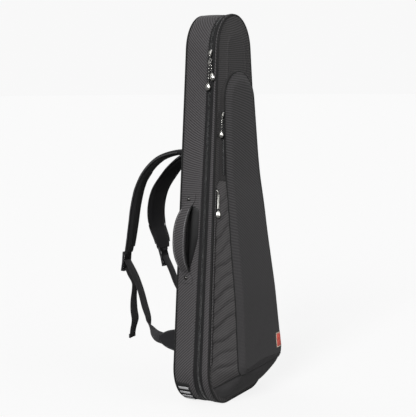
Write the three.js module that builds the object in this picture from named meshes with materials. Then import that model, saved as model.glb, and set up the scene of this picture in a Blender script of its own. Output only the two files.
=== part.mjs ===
// Padded gig bag for an electric guitar: a tapered case that stands on its flat bottom.
// Millimetres, +Z up, front (pockets) towards -Y, back (shoulder straps) towards +Y.
// The origin is the centre of the flat bottom; left_ pieces are on the -X side.
import * as THREE from "three";

// ---------------------------------------------------------------- driving dimensions
const LENGTH = 1060;
const HALF_WIDTH_BOTTOM = 188; // of the straight side lines, carried down to the floor
const HALF_WIDTH_TOP = 88.4; // of the straight side lines, carried up to the top
const BOTTOM_RADIUS = 106;
const BACK_Y = 53.5;
const GUSSET_FRONT = { bottom: -8, top: -18 }; // where the side wall ends and the zip band starts
const ZIP_Y = -25; // parting plane of the main zip
const LID_GUSSET_BACK = { bottom: -36, top: -38 };
const LID_FRONT = { bottom: -61, top: -46 };
const GAP = 0.3;

const FABRIC = 3;
const WALL_PAD = 10;
const BACK_PAD = 10;
const LID_PAD = 8;
const PIPING_RADIUS = 2.5;
const PIPING_NOTCH = 2 * PIPING_RADIUS + GAP;
const TAPE_INSET = 1;
const TAPE_THICKNESS = 2.2;

const HINGE_LOW_Z = 150; // the lid's fabric hinge runs up the right side between these heights
const HINGE_HIGH_Z = 900;

const POCKET_INSET = 12; // from the lid's outline to the foot of the pocket wall
const POCKET_LOW_Z = 95;
const POCKET_CORNER = 26;
const NECK_POCKET_Z = 614; // the neck pocket is above, the large pocket below
const NECK_POCKET_FLARE = 3;
const PANEL_HALF_AT_FLOOR = 142;
const PANEL_TAPER = 0.0655; // half width lost per millimetre of height
const PANEL_TOP_Z = 915;
const PANEL_PROFILE = [
  [POCKET_LOW_Z, -131],
  [300, -114.5],
  [NECK_POCKET_Z, -76],
  [PANEL_TOP_Z, -62],
];

const WEBBING = 32;
const WEBBING_THICKNESS = 2;
const STRAP_TOP = new THREE.Vector3(46, BACK_Y, 693);
const STRAP_FOOT = new THREE.Vector3(150, BACK_Y, 180);
const PAD_WIDTH = 62;
const PAD_THICKNESS = 14;
const PAD_TWIST = THREE.MathUtils.degToRad(12);

const HANDLE_Z = 466;
const HANDLE_Y = 22;
const HANDLE_HALF = 89;
const HANDLE_BOW = 40;
const HANDLE_WIDTH = 40;
const HANDLE_END_WIDTH = 24;
const HANDLE_REST_TILT = THREE.MathUtils.degToRad(8); // leans towards the back at rest
const RIVET_SPACING = 214;

// ---------------------------------------------------------------- derived values
const TAPER = (HALF_WIDTH_BOTTOM - HALF_WIDTH_TOP) / LENGTH;
const LEAN = Math.atan(TAPER);
// The top is one arch: this radius makes the two top corners meet in the middle.
const TOP_RADIUS = HALF_WIDTH_TOP * Math.tan(Math.PI / 4 + LEAN / 2);
const ARCH_CENTRE_Z = LENGTH - TOP_RADIUS;
const CORNER_X = HALF_WIDTH_BOTTOM - BOTTOM_RADIUS / Math.tan(Math.PI / 4 - LEAN / 2);

const halfWidth = (z) => HALF_WIDTH_BOTTOM - TAPER * z;
const slope = (ends) => (z) => THREE.MathUtils.lerp(ends.bottom, ends.top, z / LENGTH);
const gussetFront = slope(GUSSET_FRONT);
const lidGussetBack = slope(LID_GUSSET_BACK);
const lidFront = slope(LID_FRONT);
const panelHalf = (z) => PANEL_HALF_AT_FLOOR - PANEL_TAPER * z;

function panelFront(z) {
  const last = PANEL_PROFILE.length - 1;
  let i = 1;
  while (i < last && z > PANEL_PROFILE[i][0]) i += 1;
  const [z0, y0] = PANEL_PROFILE[i - 1];
  const [z1, y1] = PANEL_PROFILE[i];
  return THREE.MathUtils.mapLinear(z, z0, z1, y0, y1);
}

// ---------------------------------------------------------------- materials
const paint = (color, roughness, metalness = 0) => () =>
  new THREE.MeshStandardMaterial({ color, roughness, metalness });
const ribbedFabric = paint(0x474547, 0.85);
const smoothFabric = paint(0x38383a, 0.8);
const blackFabric = paint(0x161618, 0.85);
const zipTape = paint(0x29292b, 0.8);
const lining = paint(0x4b4d52, 0.95);
const foam = paint(0x6b6d70, 0.95);
const rubber = paint(0x121212, 0.6);
const blackPlastic = paint(0x1b1b1d, 0.5);
const silver = paint(0xd8d6cf, 0.3, 0.9);
const gunmetal = paint(0x3a3a3c, 0.35, 0.9);
const patchLeather = paint(0xd6604f, 0.7);

function piece(name, geometry, material) {
  const mesh = new THREE.Mesh(geometry, material());
  mesh.name = name;
  return mesh;
}

// ---------------------------------------------------------------- geometry helpers
// Skins a row of equal convex polygons (arrays of Vector3) into one closed solid.
function skin(sections, closed = false) {
  const count = sections[0].length;
  const position = sections.flat().flatMap((p) => [p.x, p.y, p.z]);
  const index = [];
  const rows = closed ? sections.length : sections.length - 1;
  for (let i = 0; i < rows; i += 1) {
    const here = i * count;
    const next = ((i + 1) % sections.length) * count;
    for (let j = 0; j < count; j += 1) {
      const k = (j + 1) % count;
      index.push(here + j, here + k, next + k, here + j, next + k, next + j);
    }
  }
  if (!closed) {
    const end = (sections.length - 1) * count;
    for (let j = 1; j < count - 1; j += 1) {
      index.push(0, j + 1, j);
      index.push(end, end + j, end + j + 1);
    }
  }
  if (signedVolume(position, index) < 0) index.reverse();
  const geometry = new THREE.BufferGeometry();
  geometry.setAttribute("position", new THREE.Float32BufferAttribute(position, 3));
  geometry.setIndex(index);
  geometry.computeVertexNormals();
  return geometry;
}

function signedVolume(position, index) {
  const corner = (i) => new THREE.Vector3().fromArray(position, 3 * i);
  let volume = 0;
  for (let i = 0; i < index.length; i += 3) {
    const [a, b, c] = [corner(index[i]), corner(index[i + 1]), corner(index[i + 2])];
    volume += a.dot(b.cross(c));
  }
  return volume;
}

// A station is a point of the case's outline with its outward normal, in the XZ plane.
function arcStations(x, z, radius, from, to, steps) {
  return Array.from({ length: steps + 1 }, (_, i) => {
    const angle = THREE.MathUtils.lerp(from, to, i / steps);
    const normal = new THREE.Vector2(Math.cos(angle), Math.sin(angle));
    return { x: x + radius * normal.x, z: z + radius * normal.y, normal };
  });
}

function sideStations(side, zFrom, zTo, steps = 1) {
  return Array.from({ length: steps + 1 }, (_, i) => {
    const z = THREE.MathUtils.lerp(zFrom, zTo, i / steps);
    const normal = new THREE.Vector2(side * Math.cos(LEAN), Math.sin(LEAN));
    return { x: side * halfWidth(z), z, normal };
  });
}

const SIDE_LOW_Z = BOTTOM_RADIUS * (1 + Math.sin(LEAN));
const SIDE_HIGH_Z = ARCH_CENTRE_Z + TOP_RADIUS * Math.sin(LEAN);
const archStations = () =>
  arcStations(0, ARCH_CENTRE_Z, TOP_RADIUS, LEAN, Math.PI - LEAN, 20);
const cornerStations = (side, from = 0, to = 1, steps = 10) => {
  const start = side < 0 ? Math.PI - LEAN : LEAN;
  const end = side < 0 ? 1.5 * Math.PI : -0.5 * Math.PI;
  const at = (t) => THREE.MathUtils.lerp(start, end, t);
  return arcStations(side * CORNER_X, BOTTOM_RADIUS, BOTTOM_RADIUS, at(from), at(to), steps);
};

function joinRuns(...runs) {
  const joined = [];
  for (const station of runs.flat()) {
    const last = joined.at(-1);
    const repeated = last && Math.hypot(last.x - station.x, last.z - station.z) < 0.01;
    if (!repeated) joined.push(station);
  }
  return joined;
}

const bottomRun = () =>
  joinRuns(cornerStations(-1), cornerStations(1).reverse());
const wholeOutline = () => {
  const loop = joinRuns(
    sideStations(1, SIDE_LOW_Z, SIDE_HIGH_Z, 4),
    archStations(),
    sideStations(-1, SIDE_HIGH_Z, SIDE_LOW_Z, 4),
    bottomRun(),
  );
  loop.pop(); // the last station of the bottom run is the first of the right side
  return loop;
};
const zipRun = () =>
  joinRuns(
    sideStations(1, HINGE_HIGH_Z, SIDE_HIGH_Z),
    archStations(),
    sideStations(-1, SIDE_HIGH_Z, SIDE_LOW_Z, 4),
    bottomRun(),
    sideStations(1, SIDE_LOW_Z, HINGE_LOW_Z),
  );

// Draws both ends of an open run in by half a gap, so that neighbours don't touch.
function trimmed(run) {
  const pull = (station, towards) => {
    const dx = towards.x - station.x;
    const dz = towards.z - station.z;
    const share = GAP / 2 / Math.hypot(dx, dz);
    return { ...station, x: station.x + share * dx, z: station.z + share * dz };
  };
  const last = run.length - 1;
  const middle = run.slice(1, last);
  return [pull(run[0], run[1]), ...middle, pull(run[last], run[last - 1])];
}

const inward = (station, inset, y) =>
  new THREE.Vector3(
    station.x - inset * station.normal.x,
    y,
    station.z - inset * station.normal.y,
  );

// A wall along the outline: inset runs from outer to inner, y from front to back.
function wall(run, outer, inner, front, back, closed = false) {
  const stations = closed ? run : trimmed(run);
  const sections = stations.map((s) => [
    inward(s, outer, front(s.z)),
    inward(s, outer, back(s.z)),
    inward(s, inner, back(s.z)),
    inward(s, inner, front(s.z)),
  ]);
  return skin(sections, closed);
}

function bead(run, radius, y, sides = 6) {
  const sections = run.map((s) =>
    Array.from({ length: sides }, (_, i) => {
      const angle = (2 * Math.PI * i) / sides;
      return inward(s, radius - radius * Math.cos(angle), y(s.z) + radius * Math.sin(angle));
    }),
  );
  return skin(sections, true);
}

// A flat sheet that fills the outline, between two slopes.
function sheet(inset, front, back) {
  const shape = new THREE.Shape(
    wholeOutline().map((s) => {
      const p = inward(s, inset, 0);
      return new THREE.Vector2(p.x, p.z);
    }),
  );
  const geometry = new THREE.ExtrudeGeometry(shape, { depth: 1, bevelEnabled: false });
  const position = geometry.getAttribute("position");
  for (let i = 0; i < position.count; i += 1) {
    const z = position.getY(i);
    const y = position.getZ(i) > 0.5 ? front(z) : back(z);
    position.setXYZ(i, position.getX(i), y, z);
  }
  geometry.computeVertexNormals();
  return geometry;
}

function box(width, depth, height, x = 0, y = 0, z = 0) {
  return new THREE.BoxGeometry(width, depth, height).translate(x, y, z);
}

// A strap of constant section along a smooth curve; across(t) is its width direction.
function ribbon(points, steps, width, thickness, across) {
  const curve = new THREE.CatmullRomCurve3(points, false, "centripetal");
  const sections = Array.from({ length: steps + 1 }, (_, i) => {
    const t = i / steps;
    const centre = curve.getPointAt(t);
    const tangent = curve.getTangentAt(t);
    const side = across(t).clone();
    side.addScaledVector(tangent, -side.dot(tangent)).normalize();
    const normal = new THREE.Vector3().crossVectors(tangent, side);
    const corner = (a, b) =>
      centre
        .clone()
        .addScaledVector(side, (a * width(t)) / 2)
        .addScaledVector(normal, (b * thickness(t)) / 2);
    return [corner(-1, -1), corner(1, -1), corner(1, 1), corner(-1, 1)];
  });
  return skin(sections);
}

const always = (value) => () => value;

// A group on the left side: its X points out of the wall, its Z up along it, its Y to the front.
function onLeftSide(z, y) {
  const group = new THREE.Group();
  const out = new THREE.Vector3(-Math.cos(LEAN), 0, Math.sin(LEAN));
  const up = new THREE.Vector3(Math.sin(LEAN), 0, Math.cos(LEAN));
  const basis = new THREE.Matrix4().makeBasis(out, new THREE.Vector3(0, -1, 0), up);
  group.quaternion.setFromRotationMatrix(basis);
  group.position.set(-halfWidth(z), y, z);
  return group;
}

// ---------------------------------------------------------------- body of the case
function addBody(bag) {
  const gussetBack = always(BACK_Y - PIPING_NOTCH);
  const runs = {
    gusset_right: sideStations(1, SIDE_LOW_Z, SIDE_HIGH_Z),
    gusset_top: archStations(),
    gusset_left: sideStations(-1, SIDE_HIGH_Z, SIDE_LOW_Z),
    gusset_bottom: bottomRun(),
  };
  for (const [name, run] of Object.entries(runs)) {
    bag.add(piece(name, wall(run, 0, FABRIC, gussetFront, gussetBack), ribbedFabric));
  }
  const padBack = BACK_Y - FABRIC - GAP;
  const padFront = padBack - BACK_PAD;
  const wallPadInner = FABRIC + GAP + WALL_PAD;
  const wallPadFront = (z) => gussetFront(z) + GAP;
  const wallPad = wall(
    wholeOutline(), FABRIC + GAP, wallPadInner, wallPadFront, always(padFront - GAP), true,
  );
  bag.add(
    piece("back_panel", sheet(PIPING_NOTCH, always(BACK_Y - FABRIC), always(BACK_Y)), ribbedFabric),
    piece("back_padding", sheet(PIPING_NOTCH + GAP, always(padFront), always(padBack)), lining),
    piece("wall_padding", wallPad, lining),
    piece("back_piping", bead(wholeOutline(), PIPING_RADIUS, always(BACK_Y - PIPING_RADIUS)),
      blackFabric),
  );
}

function addMainZip(bag) {
  const tapeInner = TAPE_INSET + TAPE_THICKNESS;
  const bodyFront = always(ZIP_Y + GAP / 2);
  const bodyBack = (z) => gussetFront(z) - GAP;
  const lidBack = always(ZIP_Y - GAP / 2);
  const lidTapeFront = (z) => lidGussetBack(z) + GAP;
  const hingeRun = sideStations(1, HINGE_LOW_Z, HINGE_HIGH_Z);
  bag.add(
    piece("body_zip_tape", wall(zipRun(), TAPE_INSET, tapeInner, bodyFront, bodyBack), zipTape),
    piece("lid_zip_tape", wall(zipRun(), TAPE_INSET, tapeInner, lidTapeFront, lidBack), zipTape),
    piece("hinge_strip", wall(hingeRun, TAPE_INSET, tapeInner, bodyFront, bodyBack), blackFabric),
    piece("lid_hinge_strip", wall(hingeRun, TAPE_INSET, tapeInner, lidTapeFront, lidBack), blackFabric),
  );
}

// Inside: a foam block with a U notch holds the neck, and a strap closes over it.
function addInterior(bag) {
  const z = 735;
  const back = BACK_Y - FABRIC - BACK_PAD - 2 * GAP;
  const front = -16;
  const half = halfWidth(z) - FABRIC - WALL_PAD - 6;
  const notch = { half: 32, depth: 34 };
  const profile = new THREE.Shape([
    new THREE.Vector2(-half, back),
    new THREE.Vector2(half, back),
    new THREE.Vector2(half, front),
    new THREE.Vector2(notch.half, front),
    new THREE.Vector2(notch.half, front + notch.depth),
    new THREE.Vector2(-notch.half, front + notch.depth),
    new THREE.Vector2(-notch.half, front),
    new THREE.Vector2(-half, front),
  ]);
  const cradle = new THREE.ExtrudeGeometry(profile, { depth: 70, bevelEnabled: false });
  cradle.translate(0, 0, z - 35);
  const strap = box(2 * half - 8, 3, 38, 0, front - 1.5 - GAP, z);
  const bumperBottom = FABRIC + WALL_PAD + 2 * GAP;
  const bumper = box(110, 44, 26, 0, 16, bumperBottom + 13);
  bag.add(
    piece("neck_cradle", cradle, lining),
    piece("neck_strap", strap, blackFabric),
    piece("end_bumper", bumper, foam),
  );
}

// Ribbed rubber corner guards at the back of the two bottom corners.
function addFoot(bag, side, name) {
  const ribs = 4;
  const base = 2;
  const rib = 3.2;
  const from = 0.26;
  const to = 0.72;
  const depth = { front: 8, back: 47 };
  const lands = 2 * ribs + 1;
  const edges = cornerStations(side, from, to, lands);
  const stations = edges.flatMap((s, i) => {
    const before = i % 2 === 0 ? rib : base;
    const after = i % 2 === 0 ? base : rib;
    const low = { ...s, raised: before };
    const high = { ...s, raised: after };
    if (i === 0 || i === lands) return [{ ...s, raised: base }];
    return [low, high];
  });
  const sections = stations.map((s) => [
    inward(s, -s.raised, depth.front),
    inward(s, -s.raised, depth.back),
    inward(s, -GAP, depth.back),
    inward(s, -GAP, depth.front),
  ]);
  bag.add(piece(name, skin(sections), rubber));
}

// ---------------------------------------------------------------- lid and its pockets
function addLid(bag) {
  const wallFront = (z) => lidFront(z) + PIPING_NOTCH;
  const panelBack = (z) => lidFront(z) + FABRIC;
  const padFront = (z) => panelBack(z) + GAP;
  const padBack = (z) => padFront(z) + LID_PAD;
  const gusset = wall(wholeOutline(), 0, FABRIC, wallFront, lidGussetBack, true);
  const padInset = PIPING_NOTCH + GAP;
  bag.add(
    piece("lid_panel", sheet(PIPING_NOTCH, lidFront, panelBack), ribbedFabric),
    piece("lid_padding", sheet(padInset, padFront, padBack), lining),
    piece("lid_gusset", gusset, ribbedFabric),
    piece("lid_piping", bead(wholeOutline(), PIPING_RADIUS, (z) => lidFront(z) + PIPING_RADIUS),
      blackFabric),
  );
}

// Half width of the pockets' front panel at a height: straight sides, arched top, round corners.
function panelEdge(z) {
  const archHeight = panelHalf(PANEL_TOP_Z);
  const archFoot = PANEL_TOP_Z - archHeight;
  if (z > archFoot) {
    const rise = (z - archFoot) / archHeight;
    return panelHalf(archFoot) * Math.sqrt(Math.max(0, 1 - rise * rise));
  }
  const corner = POCKET_LOW_Z + POCKET_CORNER;
  if (z < corner) {
    const drop = corner - z;
    const bite = POCKET_CORNER - Math.sqrt(Math.max(0, POCKET_CORNER ** 2 - drop ** 2));
    return panelHalf(z) - bite;
  }
  return panelHalf(z);
}

function panelLevels() {
  const archHeight = panelHalf(PANEL_TOP_Z);
  const arch = [0.25, 0.5, 0.7, 0.85, 0.95, 0.995].map((t) => PANEL_TOP_Z - archHeight * (1 - t));
  const corner = [0, 0.1, 0.35, 1].map((t) => POCKET_LOW_Z + POCKET_CORNER * t);
  const knots = [300, 450, NECK_POCKET_Z, 700, PANEL_TOP_Z - archHeight];
  return [...corner, ...knots, ...arch];
}

function addFrontPanel(bag) {
  const sections = panelLevels().map((z) => {
    const half = panelEdge(z);
    const y = panelFront(z);
    return [
      new THREE.Vector3(-half, y, z),
      new THREE.Vector3(half, y, z),
      new THREE.Vector3(half, y + FABRIC, z),
      new THREE.Vector3(-half, y + FABRIC, z),
    ];
  });
  bag.add(piece("front_panel", skin(sections), smoothFabric));
}

// A pocket wall between its foot on the lid and its edge behind the front panel. Each pair
// is [foot x, foot z, edge x, edge z]; the wall's inner face is moved in by the cloth.
function pocketWall(pairs) {
  const centre = new THREE.Vector2(0, 420);
  const shift = (x, z) => {
    const level = Math.abs(x) < 30 ? 0 : Math.sign(x);
    const lift = z < centre.y && Math.abs(x) < panelHalf(z) - 2 ? FABRIC : 0;
    return [x - level * FABRIC, z + lift];
  };
  const sections = pairs.map(([footX, footZ, edgeX, edgeZ]) => {
    const footY = lidFront(footZ) - GAP;
    const edgeY = panelFront(edgeZ) + FABRIC + GAP;
    const [footInX, footInZ] = shift(footX, footZ);
    const [edgeInX, edgeInZ] = shift(edgeX, edgeZ);
    return [
      new THREE.Vector3(footX, footY, footZ),
      new THREE.Vector3(edgeX, edgeY, edgeZ),
      new THREE.Vector3(edgeInX, edgeY, edgeInZ),
      new THREE.Vector3(footInX, lidFront(footInZ) - GAP, footInZ),
    ];
  });
  return skin(sections);
}

const footOf = (station) => [
  station.x - POCKET_INSET * station.normal.x,
  station.z - POCKET_INSET * station.normal.y,
];

const SEAM_ON_CORNER = 0.36; // share of the bottom corner's arc that the side wall takes

function pocketSidePairs(side) {
  const shoulder = NECK_POCKET_Z + 10;
  const flare = side * (panelHalf(shoulder) + NECK_POCKET_FLARE);
  const foot = (z) => side * (halfWidth(z) - POCKET_INSET);
  const edge = (z) => side * panelEdge(z);
  const straight = [500, 400, 300, 210, 140].map((z) => [foot(z), z, edge(z), z]);
  const corner = cornerStations(side, 0, SEAM_ON_CORNER, 3).map((station, i) => {
    const z = POCKET_LOW_Z + POCKET_CORNER * (1 - i / 4.2);
    return [...footOf(station), edge(z), z];
  });
  return [
    [flare, shoulder, edge(shoulder), shoulder],
    [foot(shoulder - 18), shoulder - 18, edge(shoulder - 12), shoulder - 12],
    ...straight,
    ...corner,
  ];
}

function pocketBottomPairs() {
  const half = (side) => {
    const start = pocketSidePairs(side).at(-1);
    const rest = cornerStations(side, SEAM_ON_CORNER, 1, 4).slice(1);
    const low = POCKET_LOW_Z;
    const reach = panelHalf(low) - POCKET_CORNER;
    const pairs = rest.map((station, i) => {
      const x = side * reach * (1 - 0.2 * i);
      return [...footOf(station), x, low];
    });
    return [start, ...pairs];
  };
  const right = half(1).reverse();
  return [...half(-1), ...right];
}

// Moves the two ends of a pocket wall apart from their neighbours by half a gap.
function easedPairs(pairs) {
  const ease = (pair, next) => {
    const reach = Math.hypot(next[0] - pair[0], next[1] - pair[1]);
    return pair.map((v, i) => v + ((next[i] - v) * 1.5 * GAP) / reach);
  };
  const last = pairs.length - 1;
  return [ease(pairs[0], pairs[1]), ...pairs.slice(1, last), ease(pairs[last], pairs[last - 1])];
}

function addPockets(bag) {
  bag.add(
    piece("pocket_side_left", pocketWall(easedPairs(pocketSidePairs(-1))), ribbedFabric),
    piece("pocket_side_right", pocketWall(easedPairs(pocketSidePairs(1))), ribbedFabric),
    piece("pocket_bottom", pocketWall(easedPairs(pocketBottomPairs())), smoothFabric),
  );
  const archHeight = panelHalf(PANEL_TOP_Z);
  const archFoot = PANEL_TOP_Z - archHeight;
  const low = NECK_POCKET_Z + 11;
  const half = panelHalf(archFoot);
  const arch = Array.from({ length: 17 }, (_, i) => {
    const angle = (Math.PI * i) / 16;
    return [half * Math.cos(angle), archFoot + archHeight * Math.sin(angle), angle];
  });
  const run = [[panelHalf(low), low, 0], ...arch, [-panelHalf(low), low, Math.PI]];
  const sections = run.map(([x, z, angle]) => {
    const at = (out, y) =>
      new THREE.Vector3(x + out * Math.cos(angle), y, z + out * Math.sin(angle));
    const footZ = z + NECK_POCKET_FLARE * Math.sin(angle);
    const foot = lidFront(footZ) - GAP - 0.1;
    const edge = panelFront(Math.min(z, PANEL_TOP_Z)) + FABRIC + GAP;
    return [
      at(NECK_POCKET_FLARE, foot), at(0, edge), at(-FABRIC, edge),
      at(NECK_POCKET_FLARE - FABRIC, foot),
    ];
  });
  const dividerZ = NECK_POCKET_Z;
  const dividerBack = lidFront(dividerZ) - 2 * GAP;
  const dividerFront = panelFront(dividerZ) + FABRIC + 1.5;
  const dividerHalf = panelHalf(dividerZ) - FABRIC - 1;
  const divider = box(
    2 * dividerHalf, dividerBack - dividerFront, 2, 0, (dividerBack + dividerFront) / 2, dividerZ,
  );
  bag.add(
    piece("neck_pocket_wall", skin(sections), ribbedFabric),
    piece("pocket_divider", divider, lining),
  );
}

function addPocketZips(bag) {
  const tapeFront = (z) => lidFront(z) - GAP - 2;
  const tapeBack = (z) => lidFront(z) - GAP;
  const run = sideStations(-1, NECK_POCKET_Z - 14, 130, 3);
  const tape = wall(run, PIPING_NOTCH + GAP, POCKET_INSET - GAP, tapeFront, tapeBack);
  const outer = NECK_POCKET_FLARE + 0.8;
  const neckSections = [812, 720, 640].map((z) => {
    const front = panelFront(z) + FABRIC;
    const back = lidFront(z) - 1.2;
    const x = -panelHalf(z) - outer;
    return [
      new THREE.Vector3(x - 2, front, z),
      new THREE.Vector3(x, front, z),
      new THREE.Vector3(x, back, z),
      new THREE.Vector3(x - 2, back, z),
    ];
  });
  bag.add(
    piece("pocket_zip_tape", tape, zipTape),
    piece("neck_zip_tape", skin(neckSections), zipTape),
  );
}

function addLabel(bag) {
  const z = 150;
  const slopeAngle = Math.atan2(PANEL_PROFILE[1][1] - PANEL_PROFILE[0][1], 300 - POCKET_LOW_Z);
  const group = new THREE.Group();
  group.position.set(108, panelFront(z), z);
  group.rotation.x = -slopeAngle;
  group.add(piece("label_patch", box(38, 1.4, 42, 0, -0.7 - GAP, 0), patchLeather));
  bag.add(group);
}

// ---------------------------------------------------------------- zip sliders and pulls
function sliderGeometry(size) {
  const shape = new THREE.Shape([
    new THREE.Vector2(-0.5 * size.width, 0.5 * size.length),
    new THREE.Vector2(-0.28 * size.width, -0.5 * size.length),
    new THREE.Vector2(0.28 * size.width, -0.5 * size.length),
    new THREE.Vector2(0.5 * size.width, 0.5 * size.length),
  ]);
  const geometry = new THREE.ExtrudeGeometry(shape, { depth: size.height, bevelEnabled: false });
  // The shape lies in the wall's Y-Z plane and its thickness points out along X.
  return geometry.rotateX(Math.PI / 2).rotateZ(Math.PI / 2);
}

function teardrop(length, radius) {
  const points = [];
  const steps = 8;
  for (let i = 0; i <= steps; i += 1) {
    const t = i / steps;
    const swell = Math.sin(Math.PI * Math.pow(t, 0.62));
    points.push(new THREE.Vector2(i === 0 || i === steps ? 0 : radius * swell, -length * (1 - t)));
  }
  return new THREE.LatheGeometry(points, 10).rotateX(Math.PI / 2).scale(0.6, 1, 1);
}

// A pull hangs down from its slider: a flat cord or tab, then a silver teardrop.
function addPull(group, names, reach, tipLength, tilt = 0) {
  const pull = new THREE.Group();
  const stand = 6.5;
  pull.position.set(stand, 0, -4);
  pull.rotation.x = tilt;
  const cordLength = reach - tipLength;
  pull.add(piece(names.cord, box(2.4, 5, cordLength - 3, 0, 0, -1.5 - cordLength / 2), names.finish));
  const tip = piece(names.tip, teardrop(tipLength, 7), silver);
  tip.position.z = -cordLength - 0.6;
  pull.add(tip);
  group.add(pull);
}

const MAIN_SLIDER = { width: 13, length: 20, height: 4.5 };
const SMALL_SLIDER = { width: 9, length: 14, height: 3.6 };

function addSliders(bag) {
  const stand = 0.8;
  const main = [
    { place: "upper", z: ARCH_CENTRE_Z, tilt: 0.2 },
    { place: "lower", z: ARCH_CENTRE_Z - 25, tilt: 0 },
  ];
  for (const { place, z, tilt } of main) {
    const group = onLeftSide(z, ZIP_Y);
    const slider = piece(`main_slider_${place}`, sliderGeometry(MAIN_SLIDER), gunmetal);
    slider.position.x = stand;
    group.add(slider);
    const names = { cord: `main_pull_cord_${place}`, tip: `main_pull_tip_${place}`, finish: blackFabric };
    addPull(group, names, 70, 24, tilt);
    bag.add(group);
  }
  bag.add(pocketSlider(), neckSlider());
}

// The large pocket's slider runs on the lid's front face, so its group faces the front.
function pocketSlider() {
  const z = NECK_POCKET_Z - 20;
  const x = -halfWidth(z) + (PIPING_NOTCH + POCKET_INSET) / 2;
  const group = new THREE.Group();
  group.position.set(x, lidFront(z) - GAP - 2 - 0.5, z);
  const out = new THREE.Vector3(0, -1, 0);
  const slopeY = (LID_FRONT.top - LID_FRONT.bottom) / LENGTH;
  const up = new THREE.Vector3(Math.sin(LEAN), 0, Math.cos(LEAN));
  const along = new THREE.Vector3().crossVectors(up, out);
  up.y = slopeY;
  up.normalize();
  out.crossVectors(along, up);
  group.quaternion.setFromRotationMatrix(new THREE.Matrix4().makeBasis(out, along, up));
  group.add(piece("pocket_slider", sliderGeometry(SMALL_SLIDER), gunmetal));
  const names = { cord: "pocket_pull_tab", tip: "pocket_pull_tip", finish: silver };
  addPull(group, names, 66, 24);
  return group;
}

// The neck pocket's slider runs down the left edge of the front panel.
function neckSlider() {
  const z = 800;
  const y = (panelFront(z) + FABRIC + lidFront(z)) / 2 - 1;
  const group = onLeftSide(z, y);
  group.position.x = -panelHalf(z) - NECK_POCKET_FLARE - 0.8 - 2 - 0.6;
  group.add(piece("neck_slider", sliderGeometry(SMALL_SLIDER), gunmetal));
  const names = { cord: "neck_pull_cord", tip: "neck_pull_tip", finish: blackFabric };
  addPull(group, names, 58, 22);
  return group;
}

// ---------------------------------------------------------------- side handle
function addHandle(bag) {
  const group = onLeftSide(HANDLE_Z, HANDLE_Y);
  const stand = 7;
  const arch = (inner, half, bow) =>
    [-1, -0.86, -0.5, 0, 0.5, 0.86, 1].map((t) => {
      const rise = 1 - Math.pow(Math.abs(t), 2.6);
      return new THREE.Vector3(inner + (bow - inner) * rise, 0, t * half);
    });
  const across = always(new THREE.Vector3(0, 1, 0));
  const gripWidth = (t) =>
    THREE.MathUtils.lerp(HANDLE_END_WIDTH, HANDLE_WIDTH, Math.sin(Math.PI * t) ** 0.6);
  const gripPath = arch(stand, HANDLE_HALF, HANDLE_BOW);
  const grip = ribbon(gripPath, 16, gripWidth, always(4), across);
  const padHalf = HANDLE_HALF - 18;
  const padWidth = (t) => gripWidth(t) - 12;
  const padThickness = (t) => 2 + 8 * Math.sin(Math.PI * t);
  const padPath = arch(stand + 4, padHalf, HANDLE_BOW - 8);
  const pad = ribbon(padPath, 12, padWidth, padThickness, across);
  const swinging = new THREE.Group();
  swinging.rotation.z = -HANDLE_REST_TILT;
  swinging.add(
    piece("handle_grip", grip, ribbedFabric),
    piece("handle_palm_pad", pad, blackFabric),
  );
  group.add(swinging);
  for (const [place, side] of [["upper", 1], ["lower", -1]]) {
    const z = (side * RIVET_SPACING) / 2;
    const tab = box(2.2, HANDLE_WIDTH - 4, 30, GAP + 1.1, 0, z);
    const rivet = new THREE.CylinderGeometry(3.4, 4.6, 2, 12).rotateZ(-Math.PI / 2);
    rivet.translate(2.2 + 2 * GAP + 1, 0, z);
    group.add(
      piece(`handle_tab_${place}`, tab, ribbedFabric),
      piece(`handle_rivet_${place}`, rivet, gunmetal),
    );
  }
  bag.add(group);
}

// ---------------------------------------------------------------- shoulder straps
// Each list is a strap's route on its own side: x is the distance from the middle.
const STRAP_ROUTES = {
  left: {
    side: -1,
    pad: [
      [46, 80, 693], [48, 115, 689], [52, 160, 673], [56, 198, 640], [60, 224, 596],
      [62, 240, 540], [63, 250, 480], [64, 259, 425], [64, 265, 394],
    ],
    lock: [[64, 270, 392], [64, 277, 344]],
    webbing: [
      [64, 262, 372], [68, 240, 330], [75, 214, 290], [86, 192, 250], [97, 178, 222],
      [112, 160, 200], [130, 138, 190], [142, 122, 186],
    ],
    tail: [
      [64, 270, 340], [64, 262, 318], [64, 261, 290], [64, 262, 258], [63, 259, 228],
      [62, 257, 200], [62, 259, 172], [62, 260, 146],
    ],
  },
  right: {
    side: 1,
    pad: [
      [46, 80, 693], [48, 112, 683], [53, 155, 655], [58, 195, 613], [61, 225, 565],
      [62, 243, 510], [62, 248, 460], [61, 240, 420], [60, 228, 392],
    ],
    lock: [[60, 226, 389], [60, 212, 343]],
    webbing: [
      [60, 208, 368], [63, 197, 330], [70, 183, 285], [88, 164, 244], [108, 147, 214],
      [128, 132, 196], [142, 122, 188],
    ],
  },
};

function ladderLock() {
  const shape = new THREE.Shape();
  const half = { width: 21, height: 24 };
  shape.moveTo(-half.width, -half.height);
  shape.lineTo(half.width, -half.height);
  shape.lineTo(half.width, half.height);
  shape.lineTo(-half.width, half.height);
  for (const middle of [-12, 10]) {
    const slot = new THREE.Path();
    slot.moveTo(-17, middle - 4);
    slot.lineTo(-17, middle + 4);
    slot.lineTo(17, middle + 4);
    slot.lineTo(17, middle - 4);
    shape.holes.push(slot);
  }
  return new THREE.ExtrudeGeometry(shape, { depth: 5, bevelEnabled: false }).translate(0, 0, -2.5);
}

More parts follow.
